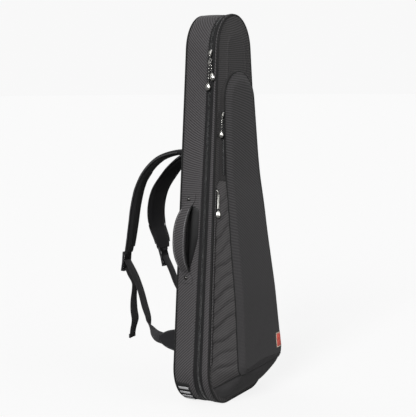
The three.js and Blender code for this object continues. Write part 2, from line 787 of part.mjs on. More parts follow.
// A webbing triangle sewn into the back seam, in the plane of the strap's own hinge line.
function anchorWing(mirror) {
  const line = new THREE.Vector3().subVectors(STRAP_TOP, STRAP_FOOT).normalize();
  const across = new THREE.Vector3().crossVectors(line, new THREE.Vector3(0, 1, 0)).normalize();
  const at = (along, out, through) => {
    const p = STRAP_FOOT.clone().addScaledVector(line, along);
    p.y += out;
    p.addScaledVector(across, through);
    p.x *= mirror;
    return p;
  };
  const level = (out, half) => [
    at(-half, out, -1.2), at(half, out, -1.2), at(half, out, 1.2), at(-half, out, 1.2),
  ];
  return skin([level(2.5, 31), level(62, 17)]);
}

function addStrap(bag, name) {
  const { side, pad, lock, webbing, tail } = STRAP_ROUTES[name];
  const place = (point) => new THREE.Vector3(side * point[0], point[1], point[2]);
  const twisted = new THREE.Vector3(Math.cos(PAD_TWIST), -side * Math.sin(PAD_TWIST), 0);
  const level = new THREE.Vector3(1, 0, 0);
  const upright = new THREE.Vector3().subVectors(STRAP_TOP, STRAP_FOOT);
  upright.x *= side;
  upright.normalize();
  const turn = (t) => level.clone().lerp(upright, THREE.MathUtils.smoothstep(t, 0.2, 0.95));
  const padWidth = (t) => PAD_WIDTH - 14 * Math.pow(1 - t, 4) - 12 * Math.pow(t, 8);
  const padAcross = (t) => level.clone().lerp(twisted, Math.min(1, 3 * t));
  const padMesh = ribbon(pad.map(place), 20, padWidth, always(PAD_THICKNESS), padAcross);
  const [lockTop, lockLow] = lock.map(place);
  const lockMesh = piece(`${name}_ladder_lock`, ladderLock(), blackPlastic);
  const lockUp = new THREE.Vector3().subVectors(lockTop, lockLow).normalize();
  const lockOut = new THREE.Vector3().crossVectors(level, lockUp);
  lockMesh.quaternion.setFromRotationMatrix(new THREE.Matrix4().makeBasis(level, lockUp, lockOut));
  lockMesh.position.lerpVectors(lockTop, lockLow, 0.5);
  const flat = always(WEBBING_THICKNESS);
  const wide = always(WEBBING);
  const anchor = box(58, 2, 60, side * STRAP_TOP.x, BACK_Y + GAP + 1, STRAP_TOP.z + 12);
  bag.add(
    piece(`${name}_shoulder_pad`, padMesh, blackFabric),
    lockMesh,
    piece(`${name}_webbing`, ribbon(webbing.map(place), 22, wide, flat, turn), blackFabric),
    piece(`${name}_anchor_wing`, anchorWing(side), blackFabric),
    piece(`${name}_strap_anchor`, anchor, blackFabric),
  );
  if (tail) {
    const hanging = ribbon(tail.map(place), 22, wide, flat, always(level));
    bag.add(piece(`${name}_webbing_tail`, hanging, blackFabric));
  }
}

// ---------------------------------------------------------------- the whole bag
const bag = new THREE.Group();
addBody(bag);
addMainZip(bag);
addInterior(bag);
addFoot(bag, -1, "left_foot");
addFoot(bag, 1, "right_foot");
addLid(bag);
addFrontPanel(bag);
addPockets(bag);
addPocketZips(bag);
addLabel(bag);
addSliders(bag);
addHandle(bag);
addStrap(bag, "left");
addStrap(bag, "right");

export default bag;
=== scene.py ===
"""A padded gig bag on its flat bottom: cloth, zips, pockets and straps around the CAD frame.

Lengths are millimetres unless a name says otherwise, and meshes are in metres.
+Z is up, the pockets face -Y, and the shoulder straps are towards +Y.
"""

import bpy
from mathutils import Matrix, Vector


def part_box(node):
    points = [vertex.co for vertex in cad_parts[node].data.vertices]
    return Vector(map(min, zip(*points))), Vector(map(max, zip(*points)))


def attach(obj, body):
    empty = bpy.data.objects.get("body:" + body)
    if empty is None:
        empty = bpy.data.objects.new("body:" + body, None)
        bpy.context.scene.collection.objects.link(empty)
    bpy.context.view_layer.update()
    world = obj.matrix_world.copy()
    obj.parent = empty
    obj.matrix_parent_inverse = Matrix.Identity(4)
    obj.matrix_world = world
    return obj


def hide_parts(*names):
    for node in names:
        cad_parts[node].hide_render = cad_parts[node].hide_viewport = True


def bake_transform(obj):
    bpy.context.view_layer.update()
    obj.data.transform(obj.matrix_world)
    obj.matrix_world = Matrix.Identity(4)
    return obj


bl_info = {
    "name": "Padded gig bag",
    "version": (1, 0, 0),
    "blender": (4, 5, 0),
    "location": "3D View > Sidebar > Gig Bag",
    "description": "Builds the soft goods, zips and straps of a padded gig bag",
    "category": "Object",
}

import math

import bmesh
import bpy
import numpy as np
from bpy.props import FloatProperty, FloatVectorProperty, IntProperty, PointerProperty
from mathutils import Matrix, Vector

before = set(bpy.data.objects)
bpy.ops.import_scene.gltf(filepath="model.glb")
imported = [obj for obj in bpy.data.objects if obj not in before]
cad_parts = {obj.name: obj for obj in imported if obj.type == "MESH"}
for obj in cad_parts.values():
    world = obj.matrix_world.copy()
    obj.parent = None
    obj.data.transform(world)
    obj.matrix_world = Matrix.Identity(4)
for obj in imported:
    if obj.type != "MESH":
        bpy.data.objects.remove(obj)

MM = 0.001


def low_of(node):
    """Lowest corner of a CAD node, in millimetres."""
    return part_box(node)[0] / MM


def high_of(node):
    """Highest corner of a CAD node, in millimetres."""
    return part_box(node)[1] / MM


# ------------------------------------------------------------------ sizes of the case
LENGTH = high_of("lid_gusset").z
HALF_WIDTH_BOTTOM = 188
HALF_WIDTH_TOP = 88.4
BOTTOM_RADIUS = 106
BACK_Y = high_of("back_panel").y
ZIP_Y = -25
PIPING_RADIUS = 2.5
PIPING_NOTCH = 5.3
HINGE_LOW_Z = low_of("hinge_strip").z
HINGE_HIGH_Z = high_of("hinge_strip").z

TAPER = (HALF_WIDTH_BOTTOM - HALF_WIDTH_TOP) / LENGTH
LEAN = math.atan(TAPER)
TOP_RADIUS = HALF_WIDTH_TOP * math.tan(math.pi / 4 + LEAN / 2)
ARCH_Z = LENGTH - TOP_RADIUS
CORNER_X = HALF_WIDTH_BOTTOM - BOTTOM_RADIUS / math.tan(math.pi / 4 - LEAN / 2)
SIDE_LOW_Z = BOTTOM_RADIUS * (1 + math.sin(LEAN))
SIDE_HIGH_Z = ARCH_Z + TOP_RADIUS * math.sin(LEAN)

BODY_RISE = 8.0
LID_RISE = 10.5

POCKET_INSET = 12
POCKET_LOW_Z = low_of("front_panel").z
POCKET_CORNER = 26
NECK_POCKET_Z = 614
NECK_POCKET_FLARE = 3
PANEL_TOP_Z = 915
PANEL_PROFILE = [(95, -131), (300, -114.5), (614, -76), (915, -62)]

HANDLE_Z = 466
HANDLE_Y = 22
HANDLE_HALF = 89
HANDLE_BOW = 40
HANDLE_TILT = math.radians(8)
RIVET_SPACING = 214

WEBBING = 32
PAD_TWIST = {"left": math.radians(6), "right": math.radians(20)}
STRAP_TOP = Vector((46, BACK_Y, 693))
STRAP_FOOT = Vector((150, BACK_Y, 180))
# A strap's route on its own side: x is the distance from the middle of the bag.
LEFT_PAD = [
    (46, 80, 693), (48, 115, 689), (52, 160, 673), (56, 198, 640), (60, 224, 596),
    (62, 240, 540), (63, 250, 480), (64, 259, 425), (64, 265, 394),
]
LEFT_WEBBING = [
    (64, 272, 374), (68, 243, 332), (75, 220, 290), (86, 200, 250), (97, 183, 222),
    (112, 170, 200), (130, 144, 187), (142, 124, 182), (148, 104, 180),
]
LEFT_TAIL = [
    (64, 270, 352), (64, 262, 334), (64, 249, 312), (64, 249, 290), (64, 252, 258),
    (63, 252, 228), (62, 249, 200), (62, 256, 172), (62, 260, 146),
]
RIGHT_PAD = [
    (46, 80, 693), (48, 114, 684), (53, 160, 656), (58, 201, 614), (61, 236, 565),
    (62, 250, 510), (62, 246, 460), (61, 230, 420), (60, 224, 394),
]
RIGHT_WEBBING = [
    (60, 219, 372), (63, 199, 330), (70, 183, 285), (88, 164, 244), (108, 147, 214),
    (128, 132, 196), (142, 122, 186), (148, 104, 181),
]
LOCKS = {"left": ((64, 272, 401), (64, 277, 343)), "right": ((60, 230, 398), (60, 213, 343))}


def half_width(z):
    return HALF_WIDTH_BOTTOM - TAPER * z


def between(low, high, share):
    return low + (high - low) * share


def gusset_front(z):
    return between(-8, -18, z / LENGTH)


def lid_back(z):
    return between(-36, -38, z / LENGTH)


def lid_front(z):
    return between(-61, -46, z / LENGTH)


def panel_half(z):
    return 142 - 0.0655 * z


def panel_front(z):
    """The front panel's height off the lid, with its two bends eased."""
    heights, depths = zip(*PANEL_PROFILE)
    near = np.linspace(z - 22, z + 22, 9)
    outside = np.interp(near, heights, depths)
    slope = (depths[1] - depths[0]) / (heights[1] - heights[0])
    outside += np.minimum(near - heights[0], 0) * slope
    return float(outside.mean())


def ease(share):
    share = min(1.0, max(0.0, share))
    return share * share * (3 - 2 * share)


# ------------------------------------------------------------------ the case's outline
def arc(x, z, radius, start, end, step=8.0):
    count = max(2, round(abs(end - start) * radius / step))
    turns = [between(start, end, i / count) for i in range(count + 1)]
    return [
        (x + radius * math.cos(a), z + radius * math.sin(a), math.cos(a), math.sin(a)) for a in turns
    ]


def side(sign, start, end, step=8.0):
    count = max(1, round(abs(end - start) / step))
    heights = [between(start, end, i / count) for i in range(count + 1)]
    return [
        (sign * half_width(z), z, sign * math.cos(LEAN), math.sin(LEAN)) for z in heights
    ]


def joined(*runs):
    line = []
    for station in (s for run in runs for s in run):
        if not line or math.hypot(line[-1][0] - station[0], line[-1][1] - station[1]) > 0.01:
            line.append(station)
    return line


def top_arch():
    return arc(0, ARCH_Z, TOP_RADIUS, LEAN, math.pi - LEAN)


def bottom_run():
    flat = [(between(-CORNER_X, CORNER_X, i / 16), 0.0, 0.0, -1.0) for i in range(17)]
    left = arc(-CORNER_X, BOTTOM_RADIUS, BOTTOM_RADIUS, math.pi - LEAN, 1.5 * math.pi)
    right = arc(CORNER_X, BOTTOM_RADIUS, BOTTOM_RADIUS, -0.5 * math.pi, LEAN)
    return joined(left, flat, right)


def raised(line, rise):
    """The padding pushes the very top of the cloth up a little."""
    return [(x, z + rise * ease((z - 880) / 180), nx, nz) for x, z, nx, nz in line]


def outline(rise=BODY_RISE):
    line = joined(
        side(1, SIDE_LOW_Z, SIDE_HIGH_Z), top_arch(), side(-1, SIDE_HIGH_Z, SIDE_LOW_Z), bottom_run()
    )
    line.pop()
    return raised(line, rise)


def zip_run(rise=BODY_RISE):
    line = joined(
        side(1, HINGE_HIGH_Z, SIDE_HIGH_Z),
        top_arch(),
        side(-1, SIDE_HIGH_Z, SIDE_LOW_Z),
        bottom_run(),
        side(1, SIDE_LOW_Z, HINGE_LOW_Z),
    )
    return raised(line, rise)


def inwards(station, inset, y):
    x, z, nx, nz = station
    return Vector((x - inset * nx, y, z - inset * nz))


# ------------------------------------------------------------------ tools of the bench
def clear_selection():
    if bpy.context.object is not None and bpy.context.object.mode != "OBJECT":
        bpy.ops.object.mode_set(mode="OBJECT")
    bpy.ops.object.select_all(action="DESELECT")


def take(piece):
    clear_selection()
    bpy.context.view_layer.objects.active = piece
    piece.select_set(True)


def select_edges(piece, wanted):
    """Selects only the edges that wanted(edge) accepts, in edit mode."""
    bpy.ops.mesh.select_mode(type="EDGE")
    mesh = bmesh.from_edit_mesh(piece.data)
    for edge in mesh.edges:
        edge.select_set(False)
    for edge in mesh.edges:
        if wanted(edge):
            edge.select_set(True)
    bmesh.update_edit_mesh(piece.data)


def select_faces(piece, wanted):
    """Selects only the faces that wanted(face) accepts, in edit mode."""
    bpy.ops.mesh.select_mode(type="FACE")
    mesh = bmesh.from_edit_mesh(piece.data)
    for face in mesh.faces:
        face.select_set(False)
    for face in mesh.faces:
        if wanted(face):
            face.select_set(True)
    bmesh.update_edit_mesh(piece.data)


def lay_cloth(piece, count, rows, place):
    """A UV map in metres: U runs over the rows and V along the line."""
    mesh = bmesh.from_edit_mesh(piece.data)
    along, across = mesh.verts.layers.int["along"], mesh.verts.layers.int["across"]
    cloth = mesh.loops.layers.uv.new("cloth")
    middle_row, middle_point = rows // 2, count // 2
    line = [place(i % count, middle_row) for i in range(count + 1)]
    row = [place(middle_point, j % rows) for j in range(rows + 1)]
    v = np.cumsum([0] + [(b - a).length * MM for a, b in zip(line, line[1:])])
    u = np.cumsum([0] + [(b - a).length * MM for a, b in zip(row, row[1:])])
    for face in mesh.faces:
        points = [vert[along] for vert in face.verts]
        levels = [vert[across] for vert in face.verts]
        round_line = count > 3 and max(points) - min(points) > count // 2
        round_row = rows > 3 and max(levels) - min(levels) > rows // 2
        for corner in face.loops:
            i, j = corner.vert[along], corner.vert[across]
            i = count if round_line and i == 0 else i
            j = rows if round_row and j == 0 else j
            corner[cloth].uv = (u[j], v[i])
    bmesh.update_edit_mesh(piece.data)


def skin(name, count, rows, place, closed=False, tube=False, outwards=None):
    """A line of points, extruded row by row; place(i, j) is where point i of row j lies."""
    clear_selection()
    bpy.ops.mesh.primitive_circle_add(vertices=count, radius=0.01, enter_editmode=True)
    piece = bpy.context.object
    piece.name = piece.data.name = name
    bpy.ops.mesh.select_mode(type="VERT")
    mesh = bmesh.from_edit_mesh(piece.data)
    along = mesh.verts.layers.int.new("along")
    across = mesh.verts.layers.int.new("across")
    for i, vert in enumerate(mesh.verts):
        vert[along] = i
        vert[across] = 0
        vert.co = place(i, 0) * MM
    bmesh.update_edit_mesh(piece.data)
    if not closed:
        ends = {0, count - 1}
        select_edges(piece, lambda edge: {vert[along] for vert in edge.verts} == ends)
        bpy.ops.mesh.delete(type="EDGE")
    bpy.ops.mesh.select_mode(type="VERT")
    bpy.ops.mesh.select_all(action="SELECT")
    for j in range(1, rows):
        bpy.ops.mesh.extrude_region_move()
        mesh = bmesh.from_edit_mesh(piece.data)
        along, across = mesh.verts.layers.int["along"], mesh.verts.layers.int["across"]
        for vert in mesh.verts:
            if vert.select:
                vert[across] = j
                vert.co = place(vert[along], j) * MM
        bmesh.update_edit_mesh(piece.data)
    if tube:
        mesh = bmesh.from_edit_mesh(piece.data)
        across = mesh.verts.layers.int["across"]
        rims = ({0}, {rows - 1})
        select_edges(piece, lambda edge: {vert[across] for vert in edge.verts} in rims)
        bpy.ops.mesh.bridge_edge_loops()
    lay_cloth(piece, count, rows, place)
    bpy.ops.mesh.select_mode(type="VERT")
    bpy.ops.mesh.select_all(action="SELECT")
    if tube and not closed:
        bpy.ops.mesh.fill_holes(sides=0)
    bpy.ops.mesh.select_all(action="SELECT")
    bpy.ops.mesh.remove_doubles(threshold=0.00002)
    bpy.ops.mesh.select_all(action="SELECT")
    bpy.ops.mesh.normals_make_consistent(inside=False)
    if outwards is not None:
        mesh = bmesh.from_edit_mesh(piece.data)
        facing = sum(
            face.normal.dot(outwards(face.calc_center_median() / MM)) * face.calc_area()
            for face in mesh.faces
        )
        if facing < 0:
            bpy.ops.mesh.flip_normals()
    bpy.ops.object.mode_set(mode="OBJECT")
    return piece


def shaped(piece, kind, **settings):
    """Adds a modifier, sets it and applies it."""
    take(piece)
    bpy.ops.object.modifier_add(type=kind)
    modifier = piece.modifiers[-1]
    for key, value in settings.items():
        setattr(modifier, key, value)
    bpy.ops.object.modifier_apply(modifier=modifier.name)
    return piece


def thickened(piece, thickness):
    """Gives a sheet its thickness, away from its outer face."""
    return shaped(piece, "SOLIDIFY", thickness=thickness * MM, offset=-1.0)


def rounded(piece, width, segments=2, angle=35):
    return shaped(
        piece, "BEVEL", width=width * MM, segments=segments, limit_method="ANGLE",
        angle_limit=math.radians(angle), harden_normals=False,
    )


def subdivided(piece, levels=1):
    return shaped(piece, "SUBSURF", levels=levels, render_levels=levels)


def placed(piece, matrix):
    """Moves a piece's mesh into place; the object itself stays at the origin."""
    piece.data.transform(matrix)
    piece.data.update()
    return piece


def block(name, width, depth, height, centre=(0, 0, 0)):
    """A cube primitive of a size, left in edit mode to be shaped."""
    clear_selection()
    bpy.ops.mesh.primitive_cube_add(size=MM, enter_editmode=True)
    piece = bpy.context.object
    piece.name = piece.data.name = name
    bpy.ops.transform.resize(value=(width, depth, height))
    bpy.ops.transform.translate(value=Vector(centre) * MM)
    return piece


def out_of_edit():
    bpy.ops.object.mode_set(mode="OBJECT")


def copies(name, sample, matrices):
    """One piece made of copies of a sample; the sample is used up."""
    points = np.array([v.co for v in sample.data.vertices])
    faces = [tuple(p.vertices) for p in sample.data.polygons]
    spots, sides = [], []
    for matrix in matrices:
        turn = np.array(matrix.to_3x3())
        first = len(points) * len(sides)
        spots.append(points @ turn.T + np.array(matrix.translation))
        sides.append([tuple(first + i for i in face) for face in faces])
    mesh = bpy.data.meshes.new(name)
    mesh.from_pydata(np.concatenate(spots).tolist(), [], [f for group in sides for f in group])
    mesh.update()
    piece = bpy.data.objects.new(name, mesh)
    bpy.context.scene.collection.objects.link(piece)
    bpy.data.objects.remove(sample)
    return piece


def stand(point, along, out):
    """A matrix with X along, Z outwards, at a point in millimetres."""
    x = along.normalized()
    z = (out - x * out.dot(x)).normalized()
    y = z.cross(x)
    turn = Matrix((x, y, z)).transposed()
    return Matrix.Translation(point * MM) @ turn.to_4x4()


def spaced(points, gap):
    """Points along a line at an even gap, with the direction at each."""
    line = np.array([tuple(p) for p in points])
    length = np.concatenate([[0], np.cumsum(np.linalg.norm(np.diff(line, axis=0), axis=1))])
    at = np.linspace(gap / 2, length[-1] - gap / 2, max(2, round(length[-1] / gap)))
    spots = np.column_stack([np.interp(at, length, line[:, k]) for k in range(3)])
    ahead = np.column_stack([np.interp(at + 0.5, length, line[:, k]) for k in range(3)])
    behind = np.column_stack([np.interp(at - 0.5, length, line[:, k]) for k in range(3)])
    return [(Vector(p), Vector(a) - Vector(b)) for p, a, b in zip(spots, ahead, behind)]


def smooth_path(points, count):
    """A smooth line through points, cut into even steps."""
    knots = np.array([tuple(p) for p in points], float)
    knots = np.vstack([2 * knots[0] - knots[1], knots, 2 * knots[-1] - knots[-2]])
    dense = []
    for k in range(1, len(knots) - 2):
        p = knots[k - 1 : k + 3]
        t = np.concatenate([[0], np.cumsum(np.sqrt(np.linalg.norm(np.diff(p, axis=0), axis=1)))])
        for at in np.linspace(t[1], t[2], 24, endpoint=False):
            level = [p[i] for i in range(4)]
            for depth in range(1, 4):
                level = [
                    between(level[i], level[i + 1], (at - t[i]) / (t[i + depth] - t[i]))
                    if depth < 3
                    else between(level[i], level[i + 1], (at - t[1]) / (t[2] - t[1]))
                    for i in range(len(level) - 1)
                ] if depth != 2 else [
                    between(level[i], level[i + 1], (at - t[i]) / (t[i + 2] - t[i]))
                    for i in range(len(level) - 1)
                ]
            dense.append(level[0])
    dense.append(knots[-2])
    dense = np.array(dense)
    length = np.concatenate([[0], np.cumsum(np.linalg.norm(np.diff(dense, axis=0), axis=1))])
    at = np.linspace(0, length[-1], count)
    return [Vector(np.array([np.interp(s, length, dense[:, k]) for k in range(3)])) for s in at]


def seam(name, lines, body, finish, length=3.0, gap=4.2, width=0.7):
    """A row of thread stitches; lines are pairs of points and an outward direction for each."""
    sample = block(f"{name}_sample", length, width, 0.55)
    out_of_edit()
    rounded(sample, 0.2, 1)
    matrices = [
        stand(point, along, outwards(point))
        for points, outwards in lines
        for point, along in spaced(points, gap)
    ]
    piece = copies(name, sample, matrices)
    return handed_over(piece, body, finish)


def handed_over(piece, body, finish, stands_for=(), smooth=40):
    """Shades a finished piece, gives it its finish and lets it ride on its body."""
    take(piece)
    bpy.ops.object.shade_smooth_by_angle(angle=math.radians(smooth))
    piece.data.materials.clear()
    piece.data.materials.append(finish)
    if body is not None:
        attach(piece, body)
    if stands_for:
        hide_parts(*stands_for)
    return piece


def swollen(piece, cap, voxel=4.0, frames=20, pressure=4.0):
    """Fills a pad with air: cloth under pressure, with each point's way capped."""
    take(piece)
    piece.data.remesh_voxel_size = voxel * MM
    bpy.ops.object.voxel_remesh()
    before = np.array([v.co for v in piece.data.vertices])
    bpy.ops.object.modifier_add(type="CLOTH")
    cloth = piece.modifiers[-1]
    cloth.settings.use_pressure = True
    cloth.settings.uniform_pressure_force = pressure
    cloth.settings.effector_weights.gravity = 0
    cloth.point_cache.frame_start = 1
    cloth.point_cache.frame_end = frames
    for number in range(1, frames + 1):
        bpy.context.scene.frame_set(number)
    shown = piece.evaluated_get(bpy.context.evaluated_depsgraph_get())
    after = np.array([v.co for v in shown.data.vertices])
    way = after - before
    far = np.linalg.norm(way, axis=1, keepdims=True)
    after = before + way * np.minimum(1, cap * MM / np.maximum(far, 1e-9))
    piece.modifiers.remove(cloth)
    bpy.context.scene.frame_set(1)
    piece.data.vertices.foreach_set("co", after.ravel())
    piece.data.update()
    return subdivided(piece)


# ------------------------------------------------------------------ shader groups
def add(tree, kind, inputs=None, **settings):
    """A node with its settings, and with its inputs set or linked."""
    made = tree.nodes.new(kind)
    for key, value in settings.items():
        setattr(made, key, value)
    for key, value in (inputs or {}).items():
        if isinstance(value, bpy.types.NodeSocket):
            tree.links.new(value, made.inputs[key])
        else:
            made.inputs[key].default_value = value
    return made


def sums(tree, operation, first, second=0.0):
    made = add(tree, "ShaderNodeMath", {0: first, 1: second}, operation=operation)
    return made.outputs[0]


def effect(name, inputs, outputs):
    """An empty shader group with named sockets; returns its tree, inputs and a closing call."""
    tree = bpy.data.node_groups.new(name, "ShaderNodeTree")
    for label, kind, value in inputs:
        socket = tree.interface.new_socket(label, in_out="INPUT", socket_type=kind)
        if value is not None:
            socket.default_value = value
    for label, kind in outputs:
        tree.interface.new_socket(label, in_out="OUTPUT", socket_type=kind)
    return tree, tree.nodes.new("NodeGroupInput"), tree.nodes.new("NodeGroupOutput")


def twill_weave():
    """Fine diagonal threads that follow the cloth; their Shade output is a painted highlight on the
    warp's crests.
    """
    tree, given, result = effect(
        "Twill weave",
        [("Cloth", "NodeSocketVector", None), ("Threads per metre", "NodeSocketFloat", 700.0)],
        [("Height", "NodeSocketFloat"), ("Shade", "NodeSocketFloat")],
    )
    split = add(tree, "ShaderNodeSeparateXYZ", {0: given.outputs["Cloth"]})
    u, v = split.outputs[0], split.outputs[1]
    turns = sums(tree, "MULTIPLY", given.outputs["Threads per metre"], 2 * math.pi)
    warp = sums(tree, "SINE", sums(tree, "MULTIPLY", sums(tree, "ADD", u, v), turns))
    weft = sums(tree, "SINE", sums(tree, "MULTIPLY", sums(tree, "SUBTRACT", u, v), turns))
    height = sums(tree, "ADD", sums(tree, "MULTIPLY", warp, 0.4), sums(tree, "MULTIPLY", weft, 0.15))
    tree.links.new(sums(tree, "ADD", height, 0.5), result.inputs["Height"])
    shade = sums(tree, "ADD", sums(tree, "MULTIPLY", warp, 0.5), 0.5)
    tree.links.new(shade, result.inputs["Shade"])
    return tree


def fanned_ribs():
    """Broad soft ribs, level at one height and leaning more and more away from it; their mask paints
    shade and highlight into the cloth's colour.
    """
    tree, given, result = effect(
        "Fanned ribs",
        [
            ("Place", "NodeSocketVector", None),
            ("Pitch", "NodeSocketFloat", 0.006),
            ("Level height", "NodeSocketFloat", 0.6),
            ("Lean", "NodeSocketFloat", 0.8),
            ("Bend", "NodeSocketFloat", 0.2),
            ("Sideways", "NodeSocketFloat", 0.0),
        ],
        [("Mask", "NodeSocketFloat")],
    )
    split = add(tree, "ShaderNodeSeparateXYZ", {0: given.outputs["Place"]})
    x, y, z = split.outputs[0], split.outputs[1], split.outputs[2]
    across = sums(tree, "ADD", y, sums(tree, "MULTIPLY", x, given.outputs["Sideways"]))
    rise = sums(tree, "SUBTRACT", z, given.outputs["Level height"])
    bend, lean = given.outputs["Bend"], given.outputs["Lean"]
    turned = sums(tree, "TANH", sums(tree, "DIVIDE", rise, bend))
    level, steep = sums(tree, "COSINE", lean), sums(tree, "SINE", lean)
    eased = sums(tree, "MULTIPLY", sums(tree, "SUBTRACT", 1.0, level), bend)
    reach = sums(tree, "SUBTRACT", eased, sums(tree, "MULTIPLY", steep, across))
    line = sums(tree, "ADD", sums(tree, "MULTIPLY", level, rise), sums(tree, "MULTIPLY", turned, reach))
    wobble = add(tree, "ShaderNodeTexNoise", {
        "Vector": given.outputs["Place"], "Scale": 7.0, "Detail": 1.0,
    })
    line = sums(tree, "ADD", line, sums(tree, "MULTIPLY", wobble.outputs[0], 0.012))
    turns = sums(tree, "DIVIDE", sums(tree, "MULTIPLY", line, 2 * math.pi), given.outputs["Pitch"])
    wave = sums(tree, "MULTIPLY", sums(tree, "SINE", turns), 0.5)
    tree.links.new(sums(tree, "ADD", wave, 0.5), result.inputs["Mask"])
    return tree


def cloth_wear():
    """Uneven dye, and sparse lint caught in the weave."""
    tree, given, result = effect(
        "Cloth wear",
        [("Place", "NodeSocketVector", None), ("Scale", "NodeSocketFloat", 14.0)],
        [("Mottle", "NodeSocketFloat"), ("Lint", "NodeSocketFloat")],
    )
    where, scale = given.outputs["Place"], given.outputs["Scale"]
    broad = add(tree, "ShaderNodeTexNoise", {"Vector": where, "Scale": scale, "Detail": 5.0})
    tree.links.new(broad.outputs[0], result.inputs["Mottle"])
    fine = add(tree, "ShaderNodeTexNoise", {"Vector": where, "Scale": 900.0, "Detail": 2.0})
    lint = add(tree, "ShaderNodeMapRange", {0: fine.outputs[0], 1: 0.68, 2: 0.8})
    tree.links.new(lint.outputs[0], result.inputs["Lint"])
    return tree


def webbing_weave():
    """Ribs across a strap with a herringbone down its length."""
    tree, given, result = effect(
        "Webbing weave",
        [("Cloth", "NodeSocketVector", None), ("Rib", "NodeSocketFloat", 0.0016)],
        [("Height", "NodeSocketFloat")],
    )
    split = add(tree, "ShaderNodeSeparateXYZ", {0: given.outputs["Cloth"]})
    u, v = split.outputs[0], split.outputs[1]
    zigzag = sums(tree, "PINGPONG", u, 0.004)
    turned = sums(tree, "ADD", v, zigzag)
    turns = sums(tree, "DIVIDE", sums(tree, "MULTIPLY", turned, 2 * math.pi), given.outputs["Rib"])
    ribs = sums(tree, "SINE", turns)
    tree.links.new(sums(tree, "ADD", sums(tree, "MULTIPLY", ribs, 0.5), 0.5), result.inputs["Height"])
    return tree


def moulded_grain():
    """The fine pebble of moulded plastic and rubber."""
    tree, given, result = effect(
        "Moulded grain",
        [("Place", "NodeSocketVector", None), ("Scale", "NodeSocketFloat", 1200.0)],
        [("Height", "NodeSocketFloat"), ("Scuffs", "NodeSocketFloat")],
    )
    where = given.outputs["Place"]
    pebble = add(tree, "ShaderNodeTexVoronoi", {"Vector": where, "Scale": given.outputs["Scale"]})
    tree.links.new(pebble.outputs["Distance"], result.inputs["Height"])
    rubs = add(tree, "ShaderNodeTexNoise", {"Vector": where, "Scale": 60.0, "Detail": 4.0})
    shown = add(tree, "ShaderNodeMapRange", {0: rubs.outputs[0], 1: 0.45, 2: 0.75})
    tree.links.new(shown.outputs[0], result.inputs["Scuffs"])
    return tree


EFFECTS = {}
FINISHES = {}


def use(tree, maker, inputs):
    """Places a shared effect in a material."""
    if maker not in EFFECTS:
        EFFECTS[maker] = maker()
    made = tree.nodes.new("ShaderNodeGroup")
    made.node_tree = EFFECTS[maker]
    for key, value in inputs.items():
        if isinstance(value, bpy.types.NodeSocket):
            tree.links.new(value, made.inputs[key])
        else:
            made.inputs[key].default_value = value
    return made


def tint(colour, factor):
    return (*[min(1.0, c * factor) for c in colour], 1.0)


def new_finish(name):
    """A material with its shader and its place nodes; returns them."""
    material = bpy.data.materials.new(name)
    material.use_nodes = True
    tree = material.node_tree
    tree.nodes.clear()
    shader = add(tree, "ShaderNodeBsdfPrincipled")
    output = add(tree, "ShaderNodeOutputMaterial")
    tree.links.new(shader.outputs[0], output.inputs[0])
    place = add(tree, "ShaderNodeTexCoord")
    FINISHES[name] = material
    return material, tree, shader, place


def mixed(tree, factor, first, second):
    made = add(tree, "ShaderNodeMix", data_type="RGBA")
    for socket, value in ((made.inputs[0], factor), (made.inputs[6], first), (made.inputs[7], second)):
        if isinstance(value, bpy.types.NodeSocket):
            tree.links.new(value, socket)
        else:
            socket.default_value = value
    return made.outputs[2]


def bumped(tree, shader, height, strength, distance):
    made = add(
        tree, "ShaderNodeBump", {"Height": height, "Strength": strength, "Distance": distance * MM}
    )
    tree.links.new(made.outputs[0], shader.inputs["Normal"])


